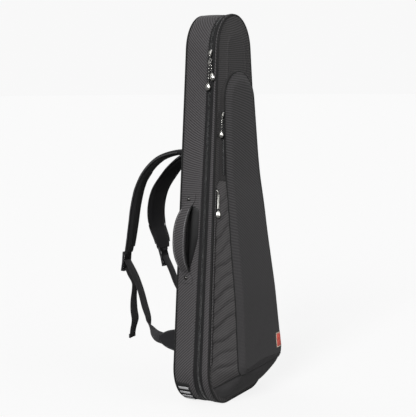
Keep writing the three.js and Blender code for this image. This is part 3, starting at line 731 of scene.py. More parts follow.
def cloth(name, colour, ribs=0.0, pitch=5.6, level=0.6, lean=48, bend=0.2, sideways=0.0,
          faded=None, threads=700.0, contrast=0.15, roughness=0.78, sheen=0.08, weave=0.5):
    """A woven cloth: twill threads and broad ribs with painted highlights and shade, uneven dye and
    lint.
    """
    if name in FINISHES:
        return FINISHES[name]
    material, tree, shader, place = new_finish(name)
    weaving = use(tree, twill_weave, {"Cloth": place.outputs["UV"], "Threads per metre": threads})
    wear = use(tree, cloth_wear, {"Place": place.outputs["Object"]})
    dyed = mixed(tree, wear.outputs["Mottle"], tint(colour, 1 - contrast), tint(colour, 1 + contrast))
    height = weaving.outputs["Height"]
    if ribs:
        wide = use(tree, fanned_ribs, {
            "Place": place.outputs["Object"], "Pitch": pitch * MM, "Level height": level,
            "Lean": math.radians(lean), "Bend": bend, "Sideways": sideways,
        })
        strength = ribs
        if faded:
            split = add(tree, "ShaderNodeSeparateXYZ", {0: place.outputs["Object"]})
            fade = add(tree, "ShaderNodeMapRange", {
                0: split.outputs[2], 1: faded[0], 2: faded[1], 3: 0.1 * ribs, 4: ribs,
            })
            strength = fade.outputs[0]
        mask = wide.outputs["Mask"]
        # Painted shade in the ribs' valleys and a painted highlight on their ridges, mixed into the
        # dye; the ridges also raise the bump.
        low = sums(tree, "MULTIPLY", sums(tree, "SUBTRACT", 1.0, mask), strength)
        high = sums(tree, "MULTIPLY", mask, strength)
        dyed = mixed(tree, low, dyed, tint(colour, 0.25))
        dyed = mixed(tree, high, dyed, tint(colour, 2.1))
        height = sums(tree, "ADD", height, high)
    # Painted highlight on the thread crests: the weave's Shade lightens the dye.
    thread_crest_highlighted = mixed(tree, sums(tree, "MULTIPLY", weaving.outputs["Shade"], 0.2), dyed,
                     tint(colour, 1.7))
    dusty = mixed(tree, sums(tree, "MULTIPLY", wear.outputs["Lint"], 0.12), thread_crest_highlighted,
                  (0.3, 0.3, 0.29, 1.0))
    tree.links.new(dusty, shader.inputs["Base Color"])
    rough = add(tree, "ShaderNodeMapRange", {
        0: wear.outputs["Mottle"], 1: 0.3, 2: 0.7, 3: roughness - 0.08, 4: roughness + 0.08,
    })
    tree.links.new(rough.outputs[0], shader.inputs["Roughness"])
    shader.inputs["Sheen Weight"].default_value = sheen
    shader.inputs["Sheen Roughness"].default_value = 0.5
    shader.inputs["Specular IOR Level"].default_value = 0.22
    bumped(tree, shader, height, weave, 0.35)
    return material


def webbing(name, colour):
    if name in FINISHES:
        return FINISHES[name]
    material, tree, shader, place = new_finish(name)
    weaving = use(tree, webbing_weave, {"Cloth": place.outputs["UV"]})
    wear = use(tree, cloth_wear, {"Place": place.outputs["Object"], "Scale": 30.0})
    dyed = mixed(tree, wear.outputs["Mottle"], tint(colour, 0.7), tint(colour, 1.4))
    # Painted highlight on the webbing's rib crests: the weave's height lightens the dye.
    woven = mixed(tree, sums(tree, "MULTIPLY", weaving.outputs["Height"], 0.4), dyed, tint(colour, 2.4))
    tree.links.new(woven, shader.inputs["Base Color"])
    rough = add(tree, "ShaderNodeMapRange", {0: wear.outputs["Mottle"], 3: 0.5, 4: 0.8})
    tree.links.new(rough.outputs[0], shader.inputs["Roughness"])
    shader.inputs["Sheen Weight"].default_value = 0.1
    bumped(tree, shader, weaving.outputs["Height"], 0.7, 0.4)
    return material


def moulded(name, colour, roughness=0.45, grain=1200.0, strength=0.25, metallic=0.0, lit=1.35):
    """Plastic, rubber or metal with a fine grain and rubbed places."""
    if name in FINISHES:
        return FINISHES[name]
    material, tree, shader, place = new_finish(name)
    skin_of = use(tree, moulded_grain, {"Place": place.outputs["Object"], "Scale": grain})
    worn = mixed(tree, skin_of.outputs["Scuffs"], tint(colour, 0.85), tint(colour, lit))
    tree.links.new(worn, shader.inputs["Base Color"])
    rough = add(tree, "ShaderNodeMapRange", {
        0: skin_of.outputs["Scuffs"], 3: roughness, 4: min(1.0, roughness + 0.2),
    })
    tree.links.new(rough.outputs[0], shader.inputs["Roughness"])
    shader.inputs["Metallic"].default_value = metallic
    bumped(tree, shader, skin_of.outputs["Height"], strength, 0.12)
    return material


def finish(name):
    """The finish of a kind of part, made the first time that it is asked for."""
    dye = bpy.context.scene.gig_bag_cloth
    makers = {
        "ribbed cloth": lambda: cloth("ribbed cloth", dye.ribbed, ribs=0.72),
        "lid cloth": lambda: cloth(
            "lid cloth", dye.lid, ribs=0.66, pitch=6.6, level=0.95, lean=50, bend=0.35, sideways=1.0,
        ),
        # The lid's cloth at 0.55 of its colour: painted shade on the neck pocket's wall, which the key
        # light reaches more than the lid.
        "neck pocket shaded cloth": lambda: cloth(
            "neck pocket shaded cloth", [0.55 * c for c in dye.lid], ribs=0.3, level=0.9,
        ),
        "pale thread": lambda: moulded("pale thread", [3.5 * c for c in dye.thread], 0.6, 3000.0, 0.3),
        "pocket side cloth": lambda: cloth(
            "pocket side cloth", dye.lid, ribs=0.48, level=1.1, lean=40,
        ),
        "smooth cloth": lambda: cloth(
            "smooth cloth", dye.smooth, ribs=0.8, pitch=8.0, level=0.95, lean=50, bend=0.35,
            sideways=1.0, faded=(0.3, 0.7), threads=900.0, contrast=0.08, roughness=0.7, weave=0.3,
        ),
        "piping cloth": lambda: cloth(
            "piping cloth", dye.piping, threads=900.0, roughness=0.7, weave=0.4,
        ),
        "strap cloth": lambda: cloth(
            "strap cloth", dye.strap, threads=600.0, contrast=0.25, roughness=0.85, sheen=0.12,
        ),
        "zip tape": lambda: cloth(
            "zip tape", dye.tape, threads=1300.0, contrast=0.2, roughness=0.75, weave=0.6,
        ),
        "plush": lambda: cloth(
            "plush", dye.lining, threads=400.0, contrast=0.3, roughness=0.95, sheen=0.8, weave=0.2,
        ),
        "foam": lambda: cloth(
            "foam", dye.lining, threads=1500.0, contrast=0.15, roughness=0.95, sheen=0.1,
        ),
        # The palm pad's lining, and the dark leaf in front of the grip, which is painted shade.
        "palm lining and painted shade": lambda: cloth(
            "palm lining and painted shade", dye.palm, threads=1500.0, contrast=0.12, roughness=0.55, sheen=0.04,
            weave=0.12,
        ),
        "webbing": lambda: webbing("webbing", dye.strap),
        "thread": lambda: moulded("thread", dye.thread, 0.6, 3000.0, 0.3),
        # The coil's pale grey is painted glints.
        "zip teeth with painted glints": lambda: moulded("zip teeth with painted glints", dye.teeth, 0.35, 2500.0, 0.1),
        "black plastic": lambda: moulded("black plastic", dye.plastic, 0.4),
        "rubber": lambda: moulded("rubber", dye.rubber, 0.6, 900.0, 0.5),
        "pale bars": lambda: moulded("pale bars", dye.bars, 0.4, 1500.0, 0.1, lit=1.1),
        "dark metal": lambda: moulded("dark metal", dye.dark_metal, 0.28, 2500.0, 0.05, 1.0),
        "silver": lambda: moulded("silver", dye.silver, 0.22, 3000.0, 0.04, 1.0, lit=1.05),
        "patch": lambda: cloth(
            "patch", dye.patch, threads=1100.0, contrast=0.2, roughness=0.7, sheen=0.1,
        ),
        "patch border": lambda: cloth(
            "patch border", dye.patch_border, threads=1100.0, contrast=0.2, roughness=0.8,
        ),
    }
    return FINISHES.get(name) or makers[name]()


# ------------------------------------------------------------------ what a user would change
def colour_of(name, description, default):
    return FloatVectorProperty(
        name=name, description=description, subtype="COLOR", size=3, min=0.0, max=1.0, default=default
    )


class GigBagCloth(bpy.types.PropertyGroup):
    """The colours of the bag's cloths and fittings."""

    ribbed: colour_of("Ribbed cloth", "The side wall's cloth", (0.047, 0.0445, 0.0462))
    lid: colour_of("Lid cloth", "The lid and the pocket sides", (0.039, 0.0372, 0.0378))
    smooth: colour_of("Smooth cloth", "The front panel", (0.0365, 0.035, 0.0362))
    piping: colour_of("Piping", "The cord along the edges", (0.010, 0.010, 0.010))
    strap: colour_of("Straps", "The straps' cloth and webbing", (0.0125, 0.0123, 0.0135))
    tape: colour_of("Zip tape", "The zips' woven tape", (0.0105, 0.0105, 0.011))
    # Pale grey, so that the coil's loops show painted glints.
    teeth: colour_of("Zip teeth", "The zips' nylon coil", (0.17, 0.17, 0.172))
    lining: colour_of("Lining", "The plush inside", (0.09, 0.095, 0.105))
    # Also the colour of the dark leaf in front of the grip: painted shade under the handle.
    palm: colour_of("Palm lining", "Under the side handle", (0.0065, 0.0065, 0.007))
    thread: colour_of("Thread", "The stitching", (0.13, 0.13, 0.132))
    plastic: colour_of("Plastic", "The ladder locks", (0.022, 0.022, 0.024))
    rubber: colour_of("Rubber", "The corner guards", (0.012, 0.012, 0.013))
    bars: colour_of("Guard bars", "The pale bars of the corner guards", (0.55, 0.55, 0.56))
    dark_metal: colour_of("Dark metal", "Sliders and rivets", (0.10, 0.098, 0.095))
    silver: colour_of("Silver", "The ends of the zip pulls", (0.86, 0.85, 0.8))
    patch: colour_of("Patch", "The small label's field", (0.62, 0.10, 0.075))
    patch_border: colour_of("Patch border", "The small label's hem", (0.5, 0.42, 0.34))


def length_of(name, description, default):
    return FloatProperty(
        name=name, description=description, default=default, min=0.0, unit="LENGTH", precision=4
    )


class GigBagShape(bpy.types.PropertyGroup):
    """The sizes of the soft details."""

    wall_swell: length_of("Wall swell", "How far the side wall crowns", 0.0012)
    lid_swell: length_of("Lid swell", "How far the padded lid rises inside its edge", 0.0055)
    panel_roll: length_of("Panel roll", "How far the front panel's edge rolls back", 0.0075)
    panel_crown: length_of("Panel crown", "How far the filled pocket pushes its panel out", 0.0045)
    fold_depth: length_of("Fold depth", "Depth of the folds in the pocket's sides", 0.0085)
    tooth_gap: length_of("Tooth spacing", "From one zip tooth to the next", 0.0032)
    stitch_gap: length_of("Stitch spacing", "From one stitch to the next", 0.0045)
    pad_swell: length_of("Pad swell", "How far air may fill the strap pads", 0.005)
    tail_wave: length_of("Strap wave", "How far loose webbing waves", 0.002)
    cord_turns: IntProperty(
        name="Cord turns", description="Turns of the bright strand round a zip cord", default=5, min=1
    )


class GigBagView(bpy.types.PropertyGroup):
    """Where the camera stands."""

    azimuth: FloatProperty(
        name="Azimuth", description="Round the bag", unit="ROTATION", default=math.radians(-61.0)
    )
    elevation: FloatProperty(
        name="Elevation", description="Above the floor", unit="ROTATION", default=math.radians(7.495)
    )
    roll: FloatProperty(
        name="Roll", description="About the view line", unit="ROTATION", default=math.radians(-0.27)
    )
    distance: FloatProperty(
        name="Distance", description="From the aim point", unit="LENGTH", default=3.117
    )
    lens: FloatProperty(name="Lens", description="Focal length", unit="CAMERA", default=95.74)
    aim_right: FloatProperty(
        name="Aim sideways", description="Aim point, right of the middle", unit="LENGTH",
        default=-0.0346,
    )
    aim_up: FloatProperty(
        name="Aim height", description="Aim point, above the floor", unit="LENGTH", default=0.5325
    )


# ------------------------------------------------------------------ the stage
def set_camera(view):
    turn, lift = view.azimuth, view.elevation
    back = Vector((
        math.sin(turn) * math.cos(lift), -math.cos(turn) * math.cos(lift), math.sin(lift)
    ))
    right = Vector((math.cos(turn), math.sin(turn), 0))
    up = back.cross(right)
    level = right * math.cos(view.roll) + up * math.sin(view.roll)
    upright = up * math.cos(view.roll) - right * math.sin(view.roll)
    clear_selection()
    bpy.ops.object.camera_add()
    camera = bpy.context.object
    camera.name = "camera"
    aim = right * view.aim_right + Vector((0, 0, view.aim_up))
    turned = Matrix((level, upright, back)).transposed().to_4x4()
    camera.matrix_world = Matrix.Translation(aim + back * view.distance) @ turned
    camera.data.lens = view.lens
    camera.data.sensor_width = 36
    camera.data.clip_end = 60
    bpy.context.scene.camera = camera


def set_sun(name, azimuth, height, strength, softness):
    turn, lift = math.radians(azimuth), math.radians(height)
    towards = Vector((
        math.sin(turn) * math.cos(lift), -math.cos(turn) * math.cos(lift), math.sin(lift)
    ))
    bpy.ops.object.light_add(type="SUN", rotation=towards.to_track_quat("Z", "Y").to_euler())
    sun = bpy.context.object
    sun.name = name
    sun.data.energy = strength
    sun.data.angle = math.radians(softness)


def set_sky():
    world = bpy.data.worlds.new("studio")
    bpy.context.scene.world = world
    world.use_nodes = True
    tree = world.node_tree
    tree.nodes.clear()
    seen = add(tree, "ShaderNodeBackground", {"Color": (0.9405, 0.9405, 0.9405, 1), "Strength": 1.0})
    lit = add(tree, "ShaderNodeBackground", {"Color": (1, 1, 1, 1), "Strength": 0.24})
    ray = add(tree, "ShaderNodeLightPath")
    mix = add(tree, "ShaderNodeMixShader", {0: ray.outputs["Is Camera Ray"]})
    tree.links.new(lit.outputs[0], mix.inputs[1])
    tree.links.new(seen.outputs[0], mix.inputs[2])
    output = add(tree, "ShaderNodeOutputWorld")
    tree.links.new(mix.outputs[0], output.inputs[0])


def set_floor():
    clear_selection()
    bpy.ops.mesh.primitive_circle_add(vertices=96, radius=30, fill_type="NGON")
    floor = bpy.context.object
    floor.name = "floor"
    material, tree, shader, place = new_finish("pale floor")
    speck = add(tree, "ShaderNodeTexNoise", {"Vector": place.outputs["Object"], "Scale": 40.0})
    shade = mixed(tree, speck.outputs[0], (0.135, 0.135, 0.135, 1), (0.145, 0.145, 0.145, 1))
    tree.links.new(shade, shader.inputs["Base Color"])
    ray = add(tree, "ShaderNodeLightPath")
    glow = mixed(tree, ray.outputs["Is Camera Ray"], (0.02, 0.02, 0.02, 1), (0.84, 0.84, 0.84, 1))
    tree.links.new(glow, shader.inputs["Emission Color"])
    shader.inputs["Emission Strength"].default_value = 1.0
    shader.inputs["Roughness"].default_value = 0.95
    shader.inputs["Specular IOR Level"].default_value = 0.0
    floor.data.materials.append(material)


class GIGBAG_OT_stage(bpy.types.Operator):
    """Sets the camera, the soft lights and the pale floor"""

    bl_idname = "gigbag.stage"
    bl_label = "Stage"
    bl_options = {"REGISTER", "UNDO"}

    def execute(self, context):
        set_camera(context.scene.gig_bag_view)
        clear_selection()
        set_sun("key_light", -82, 26, 2.9, 22)
        set_sun("fill_light", -8, 14, 1.15, 50)
        set_sun("back_light", 150, 14, 1.1, 60)
        set_sky()
        set_floor()
        context.scene.view_settings.view_transform = "Standard"
        return {"FINISHED"}


# ------------------------------------------------------------------ straps
WEBBING_SECTION = [
    (-1, -0.5), (-0.94, -1), (0, -1), (0.94, -1), (1, -0.5),
    (1, 0.5), (0.94, 1), (0, 1), (-0.94, 1), (-1, 0.5),
]


def pad_section(count=20, squareness=3.2):
    ring = []
    for i in range(count):
        turn = 2 * math.pi * i / count
        c, s = math.cos(turn), math.sin(turn)
        ring.append((
            math.copysign(abs(c) ** (2 / squareness), c), math.copysign(abs(s) ** (2 / squareness), s)
        ))
    return ring


def ribbon(name, path, across, width, thickness, section):
    """A band of a section along a path; across, width and thickness depend on the share run."""
    count = len(path)
    frames = []
    for i, centre in enumerate(path):
        ahead = path[min(i + 1, count - 1)] - path[max(i - 1, 0)]
        tangent = ahead.normalized()
        sideways = across(i / (count - 1)).copy()
        sideways = (sideways - tangent * sideways.dot(tangent)).normalized()
        frames.append((centre, sideways, tangent.cross(sideways)))

    def place(i, j):
        centre, sideways, out = frames[i]
        a, b = section[j]
        share = i / (count - 1)
        return centre + sideways * (a * width(share) / 2) + out * (b * thickness(share) / 2)

    return skin(name, count, len(section), place, tube=True)


def mirrored(points, sign):
    return [Vector((sign * x, y, z)) for x, y, z in points]


def hinge_direction(sign):
    line = STRAP_TOP - STRAP_FOOT
    line.x *= sign
    return line.normalized()


def strap_pad(name, sign, route):
    path = smooth_path(mirrored(route, sign), 48)
    level = Vector((1, 0, 0))
    twisted = Vector((math.cos(PAD_TWIST[name]), -sign * math.sin(PAD_TWIST[name]), 0))

    def across(t):
        return level.lerp(twisted, min(1, 3 * t))

    def width(t):
        return 61 - 14 * (1 - t) ** 4 - 14 * t**8

    def thickness(t):
        return 12.5 - 4 * t**10

    pad = ribbon(f"{name}_shoulder_pad_soft", path, across, width, thickness, pad_section())
    shaped_pad = swollen(pad, bpy.context.scene.gig_bag_shape.pad_swell / MM * 0.4)
    handed_over(
        shaped_pad, f"{name}_strap", finish("strap cloth"),
        [f"{name}_shoulder_pad"], 60,
    )
    edges = []
    for edge in (-1, 1):
        points = []
        for i, centre in enumerate(path[2:-2], 2):
            tangent = (path[i + 1] - path[i - 1]).normalized()
            sideways = across(i / 47)
            sideways = (sideways - tangent * sideways.dot(tangent)).normalized()
            points.append(centre + sideways * edge * (width(i / 47) / 2 + 0.9))
        edges.append(points)
    top, low = mirrored(LOCKS[name], sign)
    sewn = [path[-7], path[-4], top + Vector((0, -3.5, 4)), top.lerp(low, 0.2) + Vector((0, -1.5, 0))]
    tab = ribbon(
        f"{name}_pad_tab", smooth_path(sewn, 14), lambda t: across(1), lambda t: WEBBING + 1,
        lambda t: 2.4, WEBBING_SECTION,
    )
    handed_over(tab, f"{name}_strap", finish("webbing"), (), 30)
    hems = []
    for number, points in enumerate(edges):
        hem = ribbon(
            f"{name}_pad_hem_{number}", points, lambda t: Vector((0, 0.2, 1)), lambda t: 4.4,
            lambda t: 3.0, pad_section(8, 2.0),
        )
        hems.append(handed_over(hem, f"{name}_strap", finish("webbing")))
    return shaped_pad


def strap_webbing(name, sign, route):
    path = smooth_path(mirrored(route, sign), 60)
    level, upright = Vector((1, 0, 0)), hinge_direction(sign)

    def across(t):
        return level.lerp(-upright, ease((t - 0.5) / 0.42))

    strap = ribbon(
        f"{name}_webbing_woven", path, across, lambda t: WEBBING, lambda t: 2.0, WEBBING_SECTION
    )
    return handed_over(
        strap, f"{name}_strap", finish("webbing"), [f"{name}_webbing"], 30
    )


def strap_tail():
    """The loose end of the left strap's webbing."""
    path = smooth_path(mirrored(LEFT_TAIL, -1), 36)
    wave = bpy.context.scene.gig_bag_shape.tail_wave / MM

    def across(t):
        return Vector((1, 0.12 * math.sin(7 * t), 0.06 * wave * math.sin(9 * t)))

    tail = ribbon(
        "left_tail_woven", path, across, lambda t: WEBBING, lambda t: 2.0, WEBBING_SECTION
    )
    handed_over(tail, "left_strap", finish("webbing"), ["left_webbing_tail"], 30)
    fold = block("left_tail_hem", WEBBING - 1, 4.4, 12, path[-1] + Vector((0, 0, 6)))
    out_of_edit()
    rounded(fold, 1.6, 3)
    handed_over(fold, "left_strap", finish("webbing"))


def ladder_lock(name, sign):
    """A moulded three-bar buckle that the webbing runs through."""
    top, low = mirrored(LOCKS[name], sign)
    level = Vector((1, 0, 0))
    up = (top - low).normalized()
    out = level.cross(up)
    turn = Matrix((level, up, out)).transposed().to_4x4()
    piece = block(f"{name}_ladder_lock_moulded", 42, 57, 5)
    bpy.ops.mesh.bisect(plane_co=(0, -0.001, 0), plane_no=(0, 1, 0))
    select_faces(piece, lambda face: abs(face.normal.z) > 0.9)
    bpy.ops.mesh.inset(thickness=0.004, use_individual=True)
    inner = {face.index for face in bmesh.from_edit_mesh(piece.data).faces if face.select}
    select_faces(piece, lambda face: face.index in inner)
    bpy.ops.mesh.bridge_edge_loops()
    bpy.ops.mesh.select_all(action="SELECT")
    bpy.ops.mesh.normals_make_consistent(inside=False)
    select_edges(piece, lambda edge: all(vert.co.y < -0.02 for vert in edge.verts))
    bpy.ops.transform.translate(value=(0, 0, -0.0022))
    out_of_edit()
    rounded(piece, 1.3, 3)
    placed(piece, Matrix.Translation((top + low) / 2 * MM) @ turn)
    handed_over(
        piece, f"{name}_strap", finish("black plastic"), [f"{name}_ladder_lock"]
    )
    bar = block(f"{name}_ladder_lock_grip", 36, 6, 3.4, (0, -26, 2.0))
    bpy.ops.mesh.subdivide(number_cuts=5)
    select_faces(bar, lambda face: face.normal.z > 0.9 and int(face.calc_center_median().x * 500) % 2)
    bpy.ops.mesh.extrude_region_shrink_fatten(TRANSFORM_OT_shrink_fatten={"value": 0.0006})
    out_of_edit()
    rounded(bar, 0.5, 2)
    placed(bar, Matrix.Translation((top + low) / 2 * MM) @ turn)
    handed_over(bar, f"{name}_strap", finish("black plastic"))


def anchor_wing(name, sign):
    """The folded webbing triangle that holds the strap's foot in the back seam."""
    line = (STRAP_TOP - STRAP_FOOT).normalized()
    through = line.cross(Vector((0, 1, 0))).normalized()
    levels = [(0.4, 31), (3, 31), (18, 28), (34, 24), (46, 18), (56, 11), (61.5, 8)]
    section = [
        (-1, -0.4), (-0.96, -1), (-0.5, -1.1), (0, -1.15), (0.5, -1.1), (0.96, -1),
        (1, -0.4), (1, 0.4), (0.96, 1), (0.5, 1.1), (0, 1.15), (-0.5, 1.1), (-0.96, 1), (-1, 0.4),
    ]

    def place(i, j):
        out, half = levels[i]
        a, b = section[j]
        point = STRAP_FOOT + line * (a * half) + through * (b * 1.5)
        point.y += out
        point.x *= sign
        return point

    piece = skin(f"{name}_anchor_wing_sewn", len(levels), len(section), place, tube=True)
    subdivided(piece)
    handed_over(
        piece, f"{name}_strap", finish("strap cloth"), [f"{name}_anchor_wing"], 60
    )
    rows = []
    for edge in (-1, 1):
        points = [
            Vector((sign * p.x, p.y, p.z))
            for p in (
                STRAP_FOOT + line * (edge * (half - 3.5)) + Vector((0, out, 0)) - through * 1.9
                for out, half in levels[1:-1]
            )
        ]
        rows.append((points, lambda p: Vector((-sign * through.x, 0, -through.z))))
    seam(f"{name}_wing_stitches", rows, f"{name}_strap", finish("thread"))


def strap_root(name, sign):
    """The sewn root of a strap, between the back of the case and the pad."""
    path = smooth_path(
        [Vector((sign * 46, BACK_Y + 2.0, 695)), Vector((sign * 46, 66, 694.5)),
         Vector((sign * 46, 80, 693)), Vector((sign * 46.6, 90, 692))], 18
    )
    root = ribbon(
        f"{name}_strap_root", path, lambda t: Vector((1, 0, 0)), lambda t: between(52, 46, t),
        lambda t: between(9, 12.4, ease(t)), pad_section(20, 3.0),
    )
    handed_over(root, None, finish("strap cloth"), (), 60)
    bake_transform(root)
    anchor = block(f"{name}_strap_anchor_patch", 58, 1.9, 60, (sign * 46, BACK_Y + 1.3, 705))
    bpy.ops.mesh.subdivide(number_cuts=5)
    out_of_edit()
    rounded(anchor, 0.8, 2)
    handed_over(
        anchor, "root", finish("webbing"), [f"{name}_strap_anchor"]
    )
    corners = [(-25, -26), (25, -26), (25, 26), (-25, 26), (-25, -26)]
    square = [Vector((sign * 46 + x, BACK_Y + 2.4, 705 + z)) for x, z in corners]
    cross = [[square[0], square[2]], [square[1], square[3]]]
    seam(
        f"{name}_anchor_stitches",
        [(line, lambda p: Vector((0, 1, 0))) for line in [square, *cross]],
        "root", finish("thread"),
    )


class GIGBAG_OT_straps(bpy.types.Operator):
    """Makes the shoulder straps with their pads, webbing, locks and anchors"""

    bl_idname = "gigbag.straps"
    bl_label = "Shoulder straps"
    bl_options = {"REGISTER", "UNDO"}

    def execute(self, context):
        strap_tail()
        for name, sign, pad, strap in (
            ("left", -1, LEFT_PAD, LEFT_WEBBING), ("right", 1, RIGHT_PAD, RIGHT_WEBBING),
        ):
            strap_pad(name, sign, pad)
            strap_webbing(name, sign, strap)
            ladder_lock(name, sign)
            anchor_wing(name, sign)
            strap_root(name, sign)
        return {"FINISHED"}


# ------------------------------------------------------------------ the case
WALL_PROFILE = [
    (0.0, -2.4), (0.012, -0.8), (0.035, 0.0), (0.12, 0.35), (0.3, 0.9), (0.5, 1.0),
    (0.7, 0.9), (0.84, 0.4), (0.905, 0.0), (0.92, -0.8), (0.935, 0.1), (0.96, 0.5), (0.985, 0.1),
    (1.0, -2.0),
]


def wall_out(station, share_out, swell):
    """The outward swell, which dies away towards the floor."""
    return share_out * swell * min(1.0, max(0.0, 1 + station[3])) ** 0.5


def band(name, stations, profile, back, front, closed=False, swell=1.0, thickness=1.8):
    """A strip of cloth along the outline; profile holds shares of the width and outward steps."""

    def place(i, j):
        share, out = profile[j]
        station = stations[i]
        y = between(back(station[1]), front(station[1]), share)
        out = out if out < 0 else wall_out(station, out, swell)
        return inwards(station, -out, y)

    middle = Vector((0, 0, 500))
    piece = skin(
        name, len(stations), len(profile), place, closed=closed,
        outwards=lambda p: Vector((p.x - middle.x, 0, (p.z - middle.z) * 0.3)),
    )
    return thickened(piece, thickness)


def tube_round(name, y, finish_name, body, node, rise=BODY_RISE):
    """The cloth-covered cord along an edge."""
    stations = outline(rise)
    sides = 12

    def place(i, j):
        turn = 2 * math.pi * j / sides
        radius = PIPING_RADIUS
        station = stations[i]
        return inwards(
            station, radius - radius * math.cos(turn), y(station[1]) + radius * math.sin(turn)
        )

    piece = skin(name, len(stations), sides, place, closed=True, tube=True)
    return handed_over(piece, body, finish(finish_name), [node], 60)


def case_facing(p):
    return Vector((p.x, 0, (p.z - 500) * 0.3))


def cushion(name, stations, low, high, depths, surface, facing):
    """A sheet that fills an outline: rows run from the edge to the middle line."""
    fractions = [0.55, 0.72, 0.88, 1.0]
    rows = len(depths) + len(fractions)

    def place(i, j):
        x, z, _, _ = stations[i]
        middle = Vector((0, 0, min(high, max(low, z))))
        edge = Vector((x, 0, z))
        reach = (middle - edge).length
        share = depths[j] / reach if j < len(depths) else fractions[j - len(depths)]
        point = edge.lerp(middle, share)
        point.y = surface(point.x, point.z, share * reach)
        return point

    return skin(
        name, len(stations), rows, place, closed=True, outwards=lambda p: Vector((0, facing, 0))
    )


def inner_outline(inset, rise=BODY_RISE):
    return [
        (x - inset * nx, z - inset * nz, nx, nz) for x, z, nx, nz in outline(rise)
    ]


def teeth_along(name, points, outwards, body):
    """A zip's coil: small bent loops in two staggered rows."""
    gap = bpy.context.scene.gig_bag_shape.tooth_gap / MM
    sample = block(f"{name}_sample", 1.7, 3.6, 1.5)
    select_faces(sample, lambda face: abs(face.normal.y) > 0.9)
    bpy.ops.transform.resize(value=(0.6, 1, 0.5))
    out_of_edit()
    rounded(sample, 0.35, 1)
    matrices = []
    for number, (point, along) in enumerate(spaced(points, gap)):
        out = outwards(point)
        sideways = out.cross(along).normalized() * (0.5 if number % 2 else -0.5)
        matrices.append(stand(point + sideways, along, out))
    piece = copies(name, sample, matrices)
    return handed_over(piece, body, finish("zip teeth with painted glints"))


class GIGBAG_OT_wall(bpy.types.Operator):
    """Makes the ribbed side wall, its edge cords and its seams"""

    bl_idname = "gigbag.wall"
    bl_label = "Side wall"
    bl_options = {"REGISTER", "UNDO"}

    def execute(self, context):
        shape = context.scene.gig_bag_shape
        back = BACK_Y - PIPING_NOTCH
        wall = band(
            "side_wall", outline(), WALL_PROFILE, lambda z: back, gusset_front, closed=True,
            swell=shape.wall_swell / MM / 1.0, thickness=2.2,
        )
        handed_over(
            wall, "root", finish("ribbed cloth"),
            ["gusset_left", "gusset_right", "gusset_top", "gusset_bottom"], 50,
        )
        tube_round("back_edge_cord", lambda z: BACK_Y - PIPING_RADIUS, "piping cloth", "root",
                   "back_piping")
        groove = [
            inwards(s, 0.5, between(back, gusset_front(s[1]), 0.92)) for s in outline()
        ]
        seam("wall_front_stitches", [(groove, case_facing)], "root", finish("thread"),
             gap=shape.stitch_gap / MM)
        return {"FINISHED"}


class GIGBAG_OT_back(bpy.types.Operator):
    """Makes the padded back panel with its two sewn channels"""

    bl_idname = "gigbag.back"
    bl_label = "Back panel"
    bl_options = {"REGISTER", "UNDO"}

    def execute(self, context):
        def surface(x, z, depth):
            crown = -0.9 + 0.9 * ease(depth / 14)
            channel = math.exp(-(((abs(x) - 0.42 * half_width(z)) / 3.0) ** 2))
            return BACK_Y - 0.2 + crown - 1.4 * channel * ease((z - 120) / 60) * ease((960 - z) / 60)

        panel = cushion(
            "back_cloth", inner_outline(PIPING_NOTCH - 1.2), 150, ARCH_Z,
            [0, 1.5, 4, 8, 14, 22, 34], surface, 1,
        )
        thickened(panel, 2.4)
        handed_over(panel, "root", finish("lid cloth"), ["back_panel"], 60)
        rows = [
            ([Vector((sign * 0.42 * half_width(z), BACK_Y - 1.1, z)) for z in range(150, 940, 10)],
             lambda p: Vector((0, 1, 0)))
            for sign in (-1, 1)
        ]
        seam("back_channel_stitches", rows, "root", finish("thread"))
        return {"FINISHED"}


class GIGBAG_OT_main_zip(bpy.types.Operator):
    """Makes the main zip's tapes, coil and the lid's cloth hinge"""

    bl_idname = "gigbag.main_zip"
    bl_label = "Main zip"
    bl_options = {"REGISTER", "UNDO"}

    def execute(self, context):
        run = zip_run()
        body_tape = band(
            "body_tape", run,
            [(0, -2.2), (0.06, -1.3), (0.3, -1.5), (0.52, -1.5), (0.6, -0.7), (0.72, -0.7),
             (0.8, -1.5), (1, -1.9)],
            lambda z: gusset_front(z) - 0.2, lambda z: ZIP_Y + 2.4, thickness=0.9,
        )
        handed_over(body_tape, "root", finish("zip tape"), ["body_zip_tape"], 40)
        lid_tape = band(
            "lid_tape", zip_run(LID_RISE),
            [(0, -1.9), (0.2, -1.5), (0.3, -0.7), (0.42, -0.7), (0.52, -1.5), (0.75, -1.5),
             (0.94, -1.3), (1, -2.2)],
            lambda z: ZIP_Y - 2.4, lambda z: lid_back(z) + 0.2, thickness=0.9,
        )
        handed_over(lid_tape, "lid", finish("zip tape"), ["lid_zip_tape"], 40)
        for name, body, offset in (("body_teeth", "root", 1.25), ("lid_teeth", "lid", -1.25)):
            line = [inwards(s, 1.6, ZIP_Y + offset) for s in run]
            teeth_along(name, line, case_facing, body)
        hinge_run = side(1, HINGE_LOW_Z + 1, HINGE_HIGH_Z - 1)
        hinge = band(
            "lid_hinge_cloth", hinge_run,
            [(0, -2.2), (0.04, -1.2), (0.2, -1.3), (0.34, -1.5), (0.45, -2.0), (0.5, -2.4),
             (0.55, -2.0), (0.66, -1.5), (0.8, -1.3), (0.96, -1.2), (1, -2.2)],
            lambda z: gusset_front(z) - 0.2, lambda z: lid_back(z) + 0.2, thickness=0.9,
        )
        handed_over(
            hinge, None, finish("smooth cloth"), ["hinge_strip", "lid_hinge_strip"]
        )
        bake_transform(hinge)
        return {"FINISHED"}


